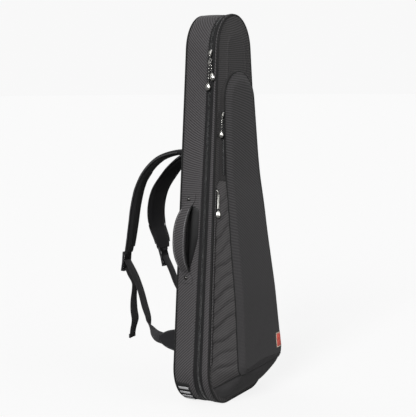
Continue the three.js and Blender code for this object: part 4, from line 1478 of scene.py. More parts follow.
class GIGBAG_OT_inside(bpy.types.Operator):
    """Makes the plush padding, the neck cradle with its strap, and the end bumper"""

    bl_idname = "gigbag.inside"
    bl_label = "Inside"
    bl_options = {"REGISTER", "UNDO"}

    def execute(self, context):
        pad_front = low_of("back_padding").y
        pad_back = high_of("back_padding").y

        def back_surface(x, z, depth):
            quilt = math.exp(-(((abs(x) - 45) / 4) ** 2)) + math.exp(-(((z % 180) - 90) ** 2) / 16)
            return pad_front + 5 - 5 * ease(depth / 12) + 1.6 * min(1, quilt)

        back_pad = cushion(
            "back_plush", inner_outline(PIPING_NOTCH + 0.6), 150, ARCH_Z,
            [0, 1.5, 4, 8, 14, 22, 34], back_surface, -1,
        )
        thickened(back_pad, pad_back - pad_front - 6)
        handed_over(back_pad, "root", finish("plush"), ["back_padding"], 60)
        profile = [(0, -4.6), (0.03, -3.4), (0.12, -3.3), (0.9, -3.3), (0.97, -3.5), (1, -5)]
        wall_front = gusset_front
        inner = [(1, -8), (0.95, -12.0), (0.6, -13.2), (0.3, -13.2), (0.05, -12.4), (0, -8)]
        ring = profile + inner
        stations = outline()

        def place(i, j):
            share, out = ring[j]
            station = stations[i]
            y = between(pad_front - 0.6, wall_front(station[1]) + 0.6, share)
            return inwards(station, -out, y)

        wall_pad = skin("wall_plush", len(stations), len(ring), place, closed=True, tube=True)
        handed_over(wall_pad, "root", finish("plush"), ["wall_padding"], 60)
        neck_cradle()
        bumper_low, bumper_high = low_of("end_bumper"), high_of("end_bumper")
        size = bumper_high - bumper_low
        bumper = block("end_bumper_soft", size.x, size.y, size.z, (bumper_low + bumper_high) / 2)
        bpy.ops.mesh.subdivide(number_cuts=6)
        out_of_edit()
        rounded(bumper, 5, 4)
        bumper = swollen(bumper, 0.8)
        handed_over(bumper, "root", finish("foam"), ["end_bumper"])
        return {"FINISHED"}


def neck_cradle():
    """A plush block with a U notch for the neck, and the strap that closes over it."""
    low, high = low_of("neck_cradle"), high_of("neck_cradle")
    half, middle = high.x, (low.z + high.z) / 2
    notch_half, notch_deep = 32, 34
    ring = []
    for sign in (-1, 1):
        corner = []
        for turn in np.linspace(0, math.pi / 2, 5):
            corner.append((half - 8 + 8 * math.sin(turn), high.y - 8 + 8 * math.cos(turn)))
        for turn in np.linspace(0, math.pi / 2, 5):
            corner.append((half - 6 + 6 * math.cos(turn), low.y + 6 - 6 * math.sin(turn)))
        for turn in np.linspace(0, math.pi / 2, 4):
            corner.append((notch_half + 5 - 5 * math.sin(turn), low.y + 5 - 5 * math.cos(turn)))
        for turn in np.linspace(0, math.pi / 2, 7):
            corner.append((
                notch_half * math.cos(turn), low.y + notch_deep - 20 + 20 * math.sin(turn)
            ))
        points = [(sign * x, y) for x, y in corner]
        ring = points[::-1] + ring if sign < 0 else ring + points
    ring = [ring[i] for i in range(len(ring)) if i == 0 or ring[i] != ring[i - 1]]
    left = [p for p in ring if p[0] < 0]
    right = [p for p in ring if p[0] > 0]
    loop = right + left[: len(left)]
    loop = sorted(right, key=lambda p: 0) + left
    heights = [low.z, low.z + 1.5, low.z + 5, middle, high.z - 5, high.z - 1.5, high.z]
    draws = [5, 1.6, 0, 0, 0, 1.6, 5]

    def place(i, j):
        x, y = loop[i]
        back_in = (y - low.y) / (high.y - low.y)
        drawn = draws[j]
        return Vector((x * (1 - drawn / half), y + drawn * (1 - 2 * back_in) * 0.5, heights[j]))

    cradle = skin("neck_cradle_soft", len(loop), len(heights), place, closed=True)
    take(cradle)
    bpy.ops.object.mode_set(mode="EDIT")
    bpy.ops.mesh.select_all(action="SELECT")
    bpy.ops.mesh.fill_holes(sides=0)
    bpy.ops.mesh.select_all(action="SELECT")
    bpy.ops.mesh.normals_make_consistent(inside=False)
    out_of_edit()
    cradle = swollen(cradle, 0.8)
    handed_over(cradle, "root", finish("plush"), ["neck_cradle"], 60)
    strap_low, strap_high = low_of("neck_strap"), high_of("neck_strap")
    size = strap_high - strap_low
    count = 24

    def strap_place(i, j):
        a, b = WEBBING_SECTION[j]
        x = between(strap_low.x, strap_high.x, i / (count - 1))
        sag = 0.6 * math.sin(math.pi * i / (count - 1))
        centre = (strap_low + strap_high) / 2
        return Vector((x, centre.y + b * 1.1 - sag, centre.z + a * size.z / 2))

    closing = skin("neck_strap_woven", count, len(WEBBING_SECTION), strap_place, tube=True)
    handed_over(closing, "root", finish("webbing"), ["neck_strap"], 30)


class GIGBAG_OT_guards(bpy.types.Operator):
    """Makes the rubber corner guards with their pale bars"""

    bl_idname = "gigbag.guards"
    bl_label = "Corner guards"
    bl_options = {"REGISTER", "UNDO"}

    def execute(self, context):
        low, high = low_of("left_foot").y, high_of("left_foot").y
        rows = [(0, 0.3), (0, 1.6), (1.2, 2.5), (3, 2.7), (-3, 2.7), (-1.2, 2.5), (0, 1.6), (0, 0.3)]
        for name, sign in (("left", -1), ("right", 1)):
            level = math.pi - LEAN if sign < 0 else LEAN
            floor = 1.5 * math.pi if sign < 0 else -0.5 * math.pi
            centre = (sign * CORNER_X, BOTTOM_RADIUS)
            start, end = between(level, floor, 0.26), between(level, floor, 0.72)
            stations = arc(*centre, BOTTOM_RADIUS, start, end, 3.0)

            def place(i, j):
                step, out = rows[j]
                y = (low if j < 4 else high) + step
                last = len(stations) - 1
                lift = ease(min(i, last - i) / 2.0)
                return inwards(stations[i], -between(0.3, out, lift), y)

            pad = skin(
                f"{name}_guard", len(stations), len(rows), place,
                outwards=lambda p: Vector((p.x - centre[0], 0, p.z - centre[1])),
            )
            handed_over(pad, "root", finish("rubber"), [f"{name}_foot"], 50)
            bar = block(f"{name}_bar_sample", 8.0, 31, 1.5)
            out_of_edit()
            rounded(bar, 0.55, 3)
            matrices = []
            for number in range(4):
                turn = math.radians(29 + 9.6 * number)
                turn = math.pi + turn if sign < 0 else -turn
                out = Vector((math.cos(turn), 0, math.sin(turn)))
                spot = Vector((centre[0], (low + high) / 2 - 1.0, centre[1])) + out * (
                    BOTTOM_RADIUS + 2.9
                )
                matrices.append(stand(spot, out.cross(Vector((0, 1, 0))), out))
            bars = copies(f"{name}_guard_bars", bar, matrices)
            handed_over(bars, "root", finish("pale bars"))
        return {"FINISHED"}


# ------------------------------------------------------------------ lid and pockets
class GIGBAG_OT_lid(bpy.types.Operator):
    """Makes the padded lid, its narrow wall, its edge cord and its lining"""

    bl_idname = "gigbag.lid"
    bl_label = "Lid"
    bl_options = {"REGISTER", "UNDO"}

    def execute(self, context):
        shape = context.scene.gig_bag_shape
        swell = shape.lid_swell / MM
        wall = band(
            "lid_wall", outline(LID_RISE),
            [(0.0, -2.0), (0.03, -0.6), (0.12, 0.0), (0.5, 0.7), (0.88, 0.0), (0.97, -0.6),
             (1.0, -2.2)],
            lid_back, lambda z: lid_front(z) + PIPING_NOTCH, closed=True, thickness=1.8,
        )
        handed_over(wall, "lid", finish("ribbed cloth"), ["lid_gusset"], 50)
        tube_round("lid_edge_cord", lambda z: lid_front(z) + PIPING_RADIUS, "piping cloth", "lid",
                   "lid_piping", LID_RISE)

        def surface(x, z, depth):
            above = ease((z - 600) / 110)
            rise = swell * ease(depth / 60) * above + 1.0 * ease(depth / 6)
            ridge = 1.3 * math.exp(-(((depth - 44) / 3.5) ** 2)) * above * ease((abs(x) - 25) / 20)
            return lid_front(z) + 1.6 - rise - ridge

        panel = cushion(
            "lid_cloth", inner_outline(PIPING_NOTCH - 1.0, LID_RISE), 150, ARCH_Z,
            [0, 1.2, 3, 6, 11, 18, 26, 34, 38, 40, 42, 44, 46, 48, 50, 54, 60], surface, -1,
        )
        thickened(panel, 2.0)
        handed_over(panel, "lid", finish("lid cloth"), ["lid_panel"], 60)

        def lining(x, z, depth):
            return lid_front(z) + 11.2 - 3.4 + 3.4 * ease(depth / 14)

        inside = cushion(
            "lid_plush", inner_outline(PIPING_NOTCH + 0.6), 150, ARCH_Z,
            [0, 1.5, 4, 8, 14, 22, 34], lining, 1,
        )
        thickened(inside, 6.5)
        handed_over(inside, "lid", finish("plush"), ["lid_padding"], 60)
        return {"FINISHED"}


def panel_edge(z):
    arch = panel_half(PANEL_TOP_Z)
    foot = PANEL_TOP_Z - arch
    if z > foot:
        return panel_half(foot) * math.sqrt(max(0.0, 1 - ((z - foot) / arch) ** 2))
    corner = POCKET_LOW_Z + POCKET_CORNER
    if z < corner:
        drop = corner - z
        return panel_half(z) - (POCKET_CORNER - math.sqrt(max(0.0, POCKET_CORNER**2 - drop**2)))
    return panel_half(z)


def edge_drop(z):
    """How far the front panel's edge lies behind its face."""
    roll = bpy.context.scene.gig_bag_shape.panel_roll / MM
    return between(3.2, roll, ease((640 - z) / 200))


def panel_out(z):
    """The filled pocket stands a little further out than the frame, most of all low down."""
    return panel_front(z) - 5.0 * ease((700 - z) / 200)


def panel_surface(z, inset):
    """The front panel's y: a filled face that rolls back to its edge."""
    crown = bpy.context.scene.gig_bag_shape.panel_crown / MM
    low = ease((640 - z) / 200)
    soft = 1 - ease(inset / 30)
    bent = max(0.0, 1 - inset / 23) * 0.85 + 0.15 * (1 - ease(inset / 34))
    share = between(soft, bent, low)
    sag = 0.8 * low * math.sin(math.pi * min(1, inset / 110)) * math.sin(z / 70)
    return panel_out(z) - crown + (edge_drop(z) + crown) * share + sag


def panel_outline():
    arch = panel_half(PANEL_TOP_Z)
    foot = PANEL_TOP_Z - arch
    half = panel_half(foot)
    corner_z = POCKET_LOW_Z + POCKET_CORNER
    points = []
    for i in range(88):
        z = between(corner_z, foot, i / 88)
        points.append((panel_half(z), z))
    for i in range(41):
        turn = math.pi * i / 40
        points.append((half * math.cos(turn), foot + arch * math.sin(turn)))
    for i in range(1, 89):
        z = between(foot, corner_z, i / 88)
        points.append((-panel_half(z), z))
    reach = panel_half(corner_z) - POCKET_CORNER
    for i in range(1, 9):
        turn = math.pi + math.pi / 2 * i / 8
        points.append((
            -reach + POCKET_CORNER * math.cos(turn), corner_z + POCKET_CORNER * math.sin(turn)
        ))
    for i in range(1, 24):
        points.append((between(-reach, reach, i / 24), POCKET_LOW_Z))
    for i in range(8):
        turn = 1.5 * math.pi + math.pi / 2 * i / 8
        points.append((
            reach + POCKET_CORNER * math.cos(turn), corner_z + POCKET_CORNER * math.sin(turn)
        ))
    return [(x, z, 0.0, 0.0) for x, z in points]


def side_pairs(sign):
    """Feet and edges of a side wall of the large pocket: foot x, foot z, edge x, edge z."""
    shoulder = NECK_POCKET_Z + 10
    pairs = [
        (sign * (panel_half(shoulder) + NECK_POCKET_FLARE), shoulder, sign * panel_edge(shoulder),
         shoulder),
        (sign * (half_width(shoulder - 18) - POCKET_INSET), shoulder - 18,
         sign * panel_edge(shoulder - 12), shoulder - 12),
    ]
    for z in (560, 500, 450, 400, 350, 300, 250, 210, 170, 140):
        pairs.append((sign * (half_width(z) - POCKET_INSET), z, sign * panel_edge(z), z))
    start = math.pi - LEAN if sign < 0 else LEAN
    end = 1.5 * math.pi if sign < 0 else -0.5 * math.pi
    turns = [between(start, end, 0.36 * i / 3) for i in range(4)]
    for i, turn in enumerate(turns):
        x = sign * CORNER_X + (BOTTOM_RADIUS - POCKET_INSET) * math.cos(turn)
        foot_z = BOTTOM_RADIUS + (BOTTOM_RADIUS - POCKET_INSET) * math.sin(turn)
        z = POCKET_LOW_Z + POCKET_CORNER * (1 - i / 4.2)
        pairs.append((x, foot_z, sign * panel_edge(z), z))
    return pairs


def bottom_pairs():
    reach = panel_half(POCKET_LOW_Z) - POCKET_CORNER

    def half(sign):
        start = math.pi - LEAN if sign < 0 else LEAN
        end = 1.5 * math.pi if sign < 0 else -0.5 * math.pi
        pairs = [side_pairs(sign)[-1]]
        for i in range(1, 5):
            turn = between(start, end, between(0.36, 1, i / 4))
            x = sign * CORNER_X + (BOTTOM_RADIUS - POCKET_INSET) * math.cos(turn)
            foot_z = BOTTOM_RADIUS + (BOTTOM_RADIUS - POCKET_INSET) * math.sin(turn)
            pairs.append((x, foot_z, sign * reach * (1 - 0.2 * (i - 1)), POCKET_LOW_Z))
        return pairs

    return half(-1) + half(1)[::-1]


def resampled(pairs, count):
    """Pairs at even steps along a wall."""
    rows = np.array(pairs, float)
    step = np.linalg.norm(np.diff(rows, axis=0), axis=1)
    at = np.concatenate([[0], np.cumsum(step)])
    where = np.linspace(0, at[-1], count)
    smooth = np.column_stack([np.interp(where, at, rows[:, k]) for k in range(4)])
    for _ in range(3):
        smooth[1:-1] = (smooth[:-2] + 2 * smooth[1:-1] + smooth[2:]) / 4
    return smooth


# Where slack cloth gathers on a side wall: height at the foot, depth share, width.
FOLDS = [
    (588, 0.3, 12), (548, 0.35, 12), (505, 0.5, 15), (462, 0.7, 17), (418, 0.55, 14),
    (378, 0.8, 15), (338, 0.6, 12), (300, 0.9, 16), (262, 0.6, 13), (224, 1.0, 14),
    (178, 1.0, 15), (138, 0.6, 12), (101, 0.9, 14),
]


def fold_at(share, z, depth):
    """How far slack cloth sinks or swells at a share of the way from foot to edge."""
    sunk = 0.0
    for height, deep, wide in FOLDS:
        line = height + 40 * share + 5 * math.sin(height + 5 * share)
        off = (z - line) / wide
        crease = math.exp(-abs(off) * 2.6) - 0.5 * math.exp(-((off - 0.9) ** 2) * 1.6)
        pull = math.exp(-((share / 0.16) ** 2)) * math.exp(-(((z - height) / (wide * 0.5)) ** 2))
        sunk += deep * (crease * (1 - 0.45 * share) + 0.7 * pull)
    return -depth * sunk * (0.35 + 0.65 * math.sin(math.pi * (0.12 + 0.76 * share)))


def pocket_wall(name, pairs, count, rows, puff, fold, facing, thickness=1.6):
    ends = resampled(pairs, count)

    def place(i, j):
        foot_x, foot_z, edge_x, edge_z = ends[i]
        share = j / (rows - 1)
        foot = Vector((foot_x, lid_front(foot_z) + 0.6, foot_z))
        edge = Vector((edge_x, panel_out(edge_z) + edge_drop(edge_z) + 0.4, edge_z))
        point = foot.lerp(edge, share)
        near = ends[min(i + 1, count - 1)] - ends[max(i - 1, 0)]
        along = Vector((near[0] + near[2], 0, near[1] + near[3]))
        out = (edge - foot).cross(along).normalized()
        out = out if out.dot(facing(point)) > 0 else -out
        last = ease((min(i, count - 1 - i) + 1) / (0.09 * count))
        swell = puff * last * math.sin(math.pi * share) ** 0.8
        edge_hold = ease(min(share, 1 - share) / 0.06)
        return point + out * (swell + fold(share, point.z) * edge_hold * last)

    piece = skin(name, count, rows, place, outwards=facing)
    return thickened(piece, thickness)


def outwards_left(p):
    return Vector((-1, -0.3, 0))


def outwards_right(p):
    return Vector((1, -0.3, 0))


def neck_pocket_wall():
    """The shallow wall round the arched neck pocket."""
    arch = panel_half(PANEL_TOP_Z)
    foot_z = PANEL_TOP_Z - arch
    half = panel_half(foot_z)
    low = NECK_POCKET_Z + 8
    run = [(panel_half(z), z, 0.0) for z in np.linspace(low, foot_z, 26, endpoint=False)]
    run += [
        (half * math.cos(turn), foot_z + arch * math.sin(turn), turn)
        for turn in np.linspace(0, math.pi, 41)
    ]
    run += [(-panel_half(z), z, math.pi) for z in np.linspace(foot_z, low, 27)[1:]]
    rows = 7

    def place(i, j):
        x, z, turn = run[i]
        share = j / (rows - 1)
        out = NECK_POCKET_FLARE * (1 - share) + 0.9 * math.sin(math.pi * share)
        foot = lid_front(z) + 0.5
        edge = panel_out(z) + 3.4
        return Vector((x + out * math.cos(turn), between(foot, edge, share), z + out * math.sin(turn)))

    piece = skin(
        "neck_pocket_cloth", len(run), rows, place,
        outwards=lambda p: Vector((p.x, 0, (p.z - 760) * 0.5)),
    )
    thickened(piece, 1.4)
    # Its cloth is darkened as painted shade.
    return handed_over(
        piece, "lid", finish("neck pocket shaded cloth"), ["neck_pocket_wall"], 60
    )


class GIGBAG_OT_pockets(bpy.types.Operator):
    """Makes the pockets: the front panel, the folded walls and the divider"""

    bl_idname = "gigbag.pockets"
    bl_label = "Pockets"
    bl_options = {"REGISTER", "UNDO"}

    def execute(self, context):
        shape = context.scene.gig_bag_shape
        depth = shape.fold_depth / MM

        panel = cushion(
            "front_cloth", panel_outline(), POCKET_LOW_Z + 110, PANEL_TOP_Z - 82,
            [0, 1.0, 2.5, 5, 8, 12, 17, 21, 23, 25, 30, 38],
            lambda x, z, inset: panel_surface(z, inset), -1,
        )
        thickened(panel, 1.8)
        handed_over(panel, "lid", finish("smooth cloth"), ["front_panel"], 60)
        cord = panel_outline()

        def bead(i, j):
            x, z, _, _ = cord[i]
            ahead = Vector((cord[(i + 1) % len(cord)][0], 0, cord[(i + 1) % len(cord)][1]))
            behind = Vector((cord[i - 1][0], 0, cord[i - 1][1]))
            out = (ahead - behind).cross(Vector((0, 1, 0))).normalized()
            out = out if out.dot(Vector((x, 0, z - 450))) > 0 else -out
            turn = 2 * math.pi * j / 8
            y = panel_out(z) + edge_drop(z) + 1.2
            return Vector((x, y, z)) + out * (1.9 * math.cos(turn) - 0.2) + Vector(
                (0, 1.9 * math.sin(turn), 0)
            )

        edge = skin("front_edge_cord", len(cord), 8, bead, closed=True, tube=True)
        handed_over(edge, "lid", finish("piping cloth"), (), 60)
        left = pocket_wall(
            "pocket_left_cloth", side_pairs(-1), 210, 26, 4.5,
            lambda share, z: fold_at(share, z, depth), outwards_left,
        )
        handed_over(left, "lid", finish("pocket side cloth"),
                    ["pocket_side_left"], 70)
        right = pocket_wall(
            "pocket_right_cloth", side_pairs(1), 210, 26, 4.5,
            lambda share, z: fold_at(share, z + 23, depth), outwards_right,
        )
        handed_over(right, "lid", finish("pocket side cloth"),
                    ["pocket_side_right"], 70)
        low = pocket_wall(
            "pocket_bottom_cloth", bottom_pairs(), 70, 16, 10.0, lambda share, z: 0.0,
            lambda p: Vector((0, -0.4, -1)),
        )
        handed_over(low, "lid", finish("smooth cloth"), ["pocket_bottom"], 70)
        for sign, word in ((-1, "left"), (1, "right")):
            shoulder_welt(sign, word)
        neck_pocket_wall()
        pocket_divider()
        return {"FINISHED"}


def shoulder_welt(sign, word):
    """The corded seam over the large pocket, where its side wall starts."""
    foot_x, foot_z, edge_x, edge_z = side_pairs(sign)[0]
    low_x, low_z = side_pairs(sign)[1][:2]
    points = [
        Vector((low_x, lid_front(low_z) - 0.4, low_z - 4)),
        Vector((foot_x, lid_front(foot_z) - 1.2, foot_z)),
        Vector((edge_x, panel_out(edge_z) + edge_drop(edge_z), edge_z)),
    ]
    welt = ribbon(
        f"pocket_shoulder_{word}", smooth_path(points, 18), lambda t: Vector((0.1, 0.1, 1)),
        lambda t: 3.2, lambda t: 3.2, pad_section(8, 2.0),
    )
    handed_over(welt, "lid", finish("piping cloth"), (), 60)
    foot_x, foot_z, edge_x, edge_z = side_pairs(sign)[-1]
    foot = Vector((foot_x, lid_front(foot_z) - 0.2, foot_z))
    edge = Vector((edge_x, panel_out(edge_z) + edge_drop(edge_z), edge_z))
    out = Vector((sign * 0.7, -0.2, -0.7))
    points = [foot.lerp(edge, t) + out * (1.6 * math.sin(math.pi * t)) for t in (0, 0.25, 0.5, 0.75, 1)]
    welt = ribbon(
        f"pocket_corner_{word}", smooth_path(points, 20), lambda t: Vector((sign * 0.7, 0, 0.7)),
        lambda t: 3.0, lambda t: 3.0, pad_section(8, 2.0),
    )
    handed_over(welt, "lid", finish("piping cloth"), (), 60)


def pocket_divider():
    """The thin cloth wall between the two pockets."""
    low, high = low_of("pocket_divider"), high_of("pocket_divider")
    count = 30

    def place(i, j):
        x = between(low.x, high.x, i / (count - 1))
        y = between(low.y, high.y, j / 5)
        sag = 2.2 * math.sin(math.pi * i / (count - 1)) * math.sin(math.pi * j / 5)
        return Vector((x, y, high.z - sag))

    piece = skin("pocket_divider_cloth", count, 6, place, outwards=lambda p: Vector((0, 0, 1)))
    thickened(piece, 1.0)
    handed_over(piece, "lid", finish("plush"), ["pocket_divider"], 60)


class GIGBAG_OT_pocket_zips(bpy.types.Operator):
    """Makes the pockets' zips: tapes, coils and the flap over the large one"""

    bl_idname = "gigbag.pocket_zips"
    bl_label = "Pocket zips"
    bl_options = {"REGISTER", "UNDO"}

    def execute(self, context):
        run = side(-1, NECK_POCKET_Z - 14, 130)
        steps = [(5.7, -0.4), (6.6, -0.8), (8.0, -0.9), (9.4, -0.8), (10.6, -0.8), (11.6, -0.4)]

        def tape(i, j):
            inset, rise = steps[j]
            return inwards(run[i], inset, lid_front(run[i][1]) + rise)

        strip = skin(
            "pocket_tape", len(run), len(steps), tape, outwards=lambda p: Vector((0, -1, 0))
        )
        thickened(strip, 0.8)
        handed_over(strip, "lid", finish("zip tape"), ["pocket_zip_tape"])
        line = [inwards(s, 9.4, lid_front(s[1]) - 1.6) for s in run]
        teeth_along("pocket_teeth", line, lambda p: Vector((0, -1, 0)), "lid")
        hood = [(5.2, -0.2), (5.0, -1.8), (5.6, -3.2), (6.8, -3.8), (7.8, -3.2), (8.2, -2.0)]

        def flap(i, j):
            inset, rise = hood[j]
            return inwards(run[i], inset, lid_front(run[i][1]) + rise)

        cover = skin(
            "pocket_zip_flap", len(run), len(hood), flap, outwards=lambda p: Vector((0, -1, 0))
        )
        thickened(cover, 0.9)
        handed_over(cover, "lid", finish("lid cloth"))
        heights = np.linspace(low_of("neck_zip_tape").z, high_of("neck_zip_tape").z, 24)
        out = NECK_POCKET_FLARE + 1.6
        shares = [0.52, 0.58, 0.66, 0.74, 0.82, 0.9, 0.98]
        rises = [0.2, 0.9, 1.0, 0.6, 1.0, 0.9, 0.2]

        def neck_tape(i, j):
            z = heights[i]
            y = between(lid_front(z) - 0.8, panel_front(z) + 3.2, shares[j])
            return Vector((-panel_half(z) - out - rises[j] + 0.6, y, z))

        strip = skin("neck_tape", 24, len(shares), neck_tape, outwards=lambda p: Vector((-1, 0, 0)))
        thickened(strip, 0.8)
        handed_over(strip, "lid", finish("zip tape"), ["neck_zip_tape"])
        line = [
            Vector((-panel_half(z) - out - 0.6, between(lid_front(z), panel_front(z) + 3.2, 0.74), z))
            for z in heights
        ]
        teeth_along("neck_teeth", line, lambda p: Vector((-1, 0, 0)), "lid")
        return {"FINISHED"}


class GIGBAG_OT_label(bpy.types.Operator):
    """Makes the small blank label with its sewn hem"""

    bl_idname = "gigbag.label"
    bl_label = "Label"
    bl_options = {"REGISTER", "UNDO"}

    def execute(self, context):
        z = (low_of("label_patch").z + high_of("label_patch").z) / 2
        x = (low_of("label_patch").x + high_of("label_patch").x) / 2 - 5
        hem = block("label_hem", 38, 1.4, 42, (0, -0.8, 0))
        select_faces(hem, lambda face: face.normal.y < -0.9)
        bpy.ops.mesh.inset(thickness=0.0032)
        bpy.ops.transform.translate(value=(0, 0.0006, 0))
        bpy.ops.mesh.select_all(action="SELECT")
        bpy.ops.mesh.subdivide(number_cuts=5)
        out_of_edit()
        laid_on_panel(hem, x, z)
        handed_over(hem, "lid", finish("patch border"), ["label_patch"])
        field = block("label_field", 31.6, 1.2, 35.6, (0, -1.2, 0))
        bpy.ops.mesh.subdivide(number_cuts=8)
        select_faces(
            field, lambda face: face.normal.y < -0.9 and int(face.calc_center_median().z * 400) % 2
        )
        bpy.ops.mesh.inset(thickness=0.0006)
        bpy.ops.transform.translate(value=(0, -0.0003, 0))
        out_of_edit()
        laid_on_panel(field, x, z)
        handed_over(field, "lid", finish("patch"))
        return {"FINISHED"}


def laid_on_panel(piece, x, z):
    """Lays a flat piece, modelled about the origin, on the front panel's curved face."""
    for vert in piece.data.vertices:
        across, up = x + vert.co.x / MM, z + vert.co.z / MM
        face = panel_surface(up, max(0, panel_half(up) - across))
        vert.co = Vector((across, face + vert.co.y / MM, up)) * MM
    piece.data.update()
    rounded(piece, 0.3, 2, 50)


# ------------------------------------------------------------------ sliders and pulls
def left_side_frame(z, y, x=None):
    """X points out of the left wall, Y to the front and Z up along the wall."""
    out = Vector((-math.cos(LEAN), 0, math.sin(LEAN)))
    up = Vector((math.sin(LEAN), 0, math.cos(LEAN)))
    turn = Matrix((out, Vector((0, -1, 0)), up)).transposed().to_4x4()
    spot = Vector((-half_width(z) if x is None else x, y, z))
    return Matrix.Translation(spot * MM) @ turn


def slider_piece(name, size, matrix, lift, body, node):
    """A zip slider: a Y-shaped body with a raised bridge that holds the pull."""
    width, length, height = size
    piece = block(name, height, width, length, (lift + height / 2, 0, 0))
    bpy.ops.mesh.subdivide(number_cuts=3)
    mesh = bmesh.from_edit_mesh(piece.data)
    for vert in mesh.verts:
        share = 0.5 - vert.co.z / (length * MM)
        vert.co.y *= between(1.0, 0.6, ease(share))
        vert.co.x -= 0.25 * height * MM * (abs(vert.co.y) / (width * MM / 2)) ** 2 * (
            1 if vert.co.x > (lift + height / 2) * MM else 0
        )
    bmesh.update_edit_mesh(piece.data)
    out_of_edit()
    rounded(piece, height * 0.16, 2)
    placed(piece, matrix)
    handed_over(piece, body, finish("dark metal"), [node])
    path = [
        Vector((lift + height + 2.2 * math.sin(math.pi * t) - 0.4, 0, length * (0.33 - 0.72 * t)))
        for t in np.linspace(0, 1, 13)
    ]
    bridge = ribbon(
        f"{name}_bridge", path, lambda t: Vector((0, 1, 0)), lambda t: width * 0.5,
        lambda t: 1.5, pad_section(10, 3.0),
    )
    placed(bridge, matrix)
    handed_over(bridge, body, finish("silver"))


def braided_cord(name, top, low, matrix, body, node):
    """A black cord with two bright strands that cross round it."""
    count = 30
    path = [Vector((0, 0, between(top, low, i / (count - 1)))) for i in range(count)]
    core = ribbon(
        name, path, lambda t: Vector((0, 1, 0)), lambda t: 4.4, lambda t: 3.4, pad_section(10, 2.0)
    )
    placed(core, matrix)
    handed_over(core, body, finish("webbing"), [node], 60)
    turns = bpy.context.scene.gig_bag_shape.cord_turns
    for number, way in enumerate((1, -1)):
        steps = 20 * turns
        helix = [
            Vector((
                1.75 * math.cos(way * 2 * math.pi * turns * i / steps + number),
                2.25 * math.sin(way * 2 * math.pi * turns * i / steps + number),
                between(top - 1, low + 1, i / steps),
            ))
            for i in range(steps + 1)
        ]
        strand = ribbon(
            f"{name}_strand_{number}", helix, lambda t: Vector((0, 0, 1)), lambda t: 1.1,
            lambda t: 1.0, pad_section(6, 2.0),
        )
        placed(strand, matrix)
        handed_over(strand, body, finish("silver"), (), 60)


def teardrop_rows(length, radius, steps=14):
    rows = []
    for i in range(steps + 1):
        t = i / steps
        swell = math.sin(math.pi * t**0.72) ** 0.72
        rows.append((max(0.001, radius * swell), -length * (1 - t)))
    return rows


def pull_tip(name, top, length, radius, matrix, body, node):
    """A moulded black drop with a bright metal drop set into its outer face."""
    rows = teardrop_rows(length, radius)
    count = 20

    def place(i, j):
        swell, z = rows[j]
        turn = 2 * math.pi * i / count
        return Vector((0.6 * swell * math.cos(turn), swell * math.sin(turn), top + z))

    drop = skin(name, count, len(rows), place, closed=True)
    placed(drop, matrix)
    handed_over(drop, body, finish("black plastic"), [node], 60)
    inner = teardrop_rows(length * 0.94, radius * 0.99)

    def inlay(i, j):
        swell, z = inner[j]
        turn = 2 * math.pi * i / count
        return Vector((
            0.6 * swell * math.cos(turn) + 1.6, swell * math.sin(turn), top - 1.0 + z
        ))

    bright = skin(f"{name}_inlay", count, len(inner), inlay, closed=True)
    placed(bright, matrix)
    handed_over(bright, body, finish("silver"), (), 60)


def pull_frame(matrix, tilt):
    return matrix @ Matrix.Translation(Vector((6.5, 0, -4)) * MM) @ Matrix.Rotation(tilt, 4, "X")


class GIGBAG_OT_sliders(bpy.types.Operator):
    """Makes the four zip sliders and their pulls"""

    bl_idname = "gigbag.sliders"
    bl_label = "Sliders and pulls"
    bl_options = {"REGISTER", "UNDO"}

    def execute(self, context):
        for place, z, tilt in (("upper", ARCH_Z, 0.2), ("lower", ARCH_Z - 25, 0.0)):
            wall = left_side_frame(z, ZIP_Y)
            slider_piece(
                f"slider_{place}", (13, 20, 4.5), wall, 0.8, f"main_slider_{place}",
                f"main_slider_{place}",
            )
            hang = pull_frame(wall, tilt)
            body = f"main_pull_{place}"
            braided_cord(f"pull_{place}_cord", -1, -46, hang, body, f"main_pull_cord_{place}")
            pull_tip(f"pull_{place}_tip", -46.6, 24, 7, hang, body, f"main_pull_tip_{place}")
        z = 800
        y = (np.interp(z, *zip(*PANEL_PROFILE)) + 3 + lid_front(z)) / 2 - 4.5
        wall = left_side_frame(z, y, -panel_half(z) - NECK_POCKET_FLARE - 3.4)
        slider_piece("slider_neck", (9, 14, 3.6), wall, 0.0, "neck_slider", "neck_slider")
        hang = pull_frame(wall, 0)
        braided_cord("pull_neck_cord", -1, -36, hang, "neck_pull", "neck_pull_cord")
        pull_tip("pull_neck_tip", -36.6, 22, 7, hang, "neck_pull", "neck_pull_tip")
        pocket_slider()
        return {"FINISHED"}


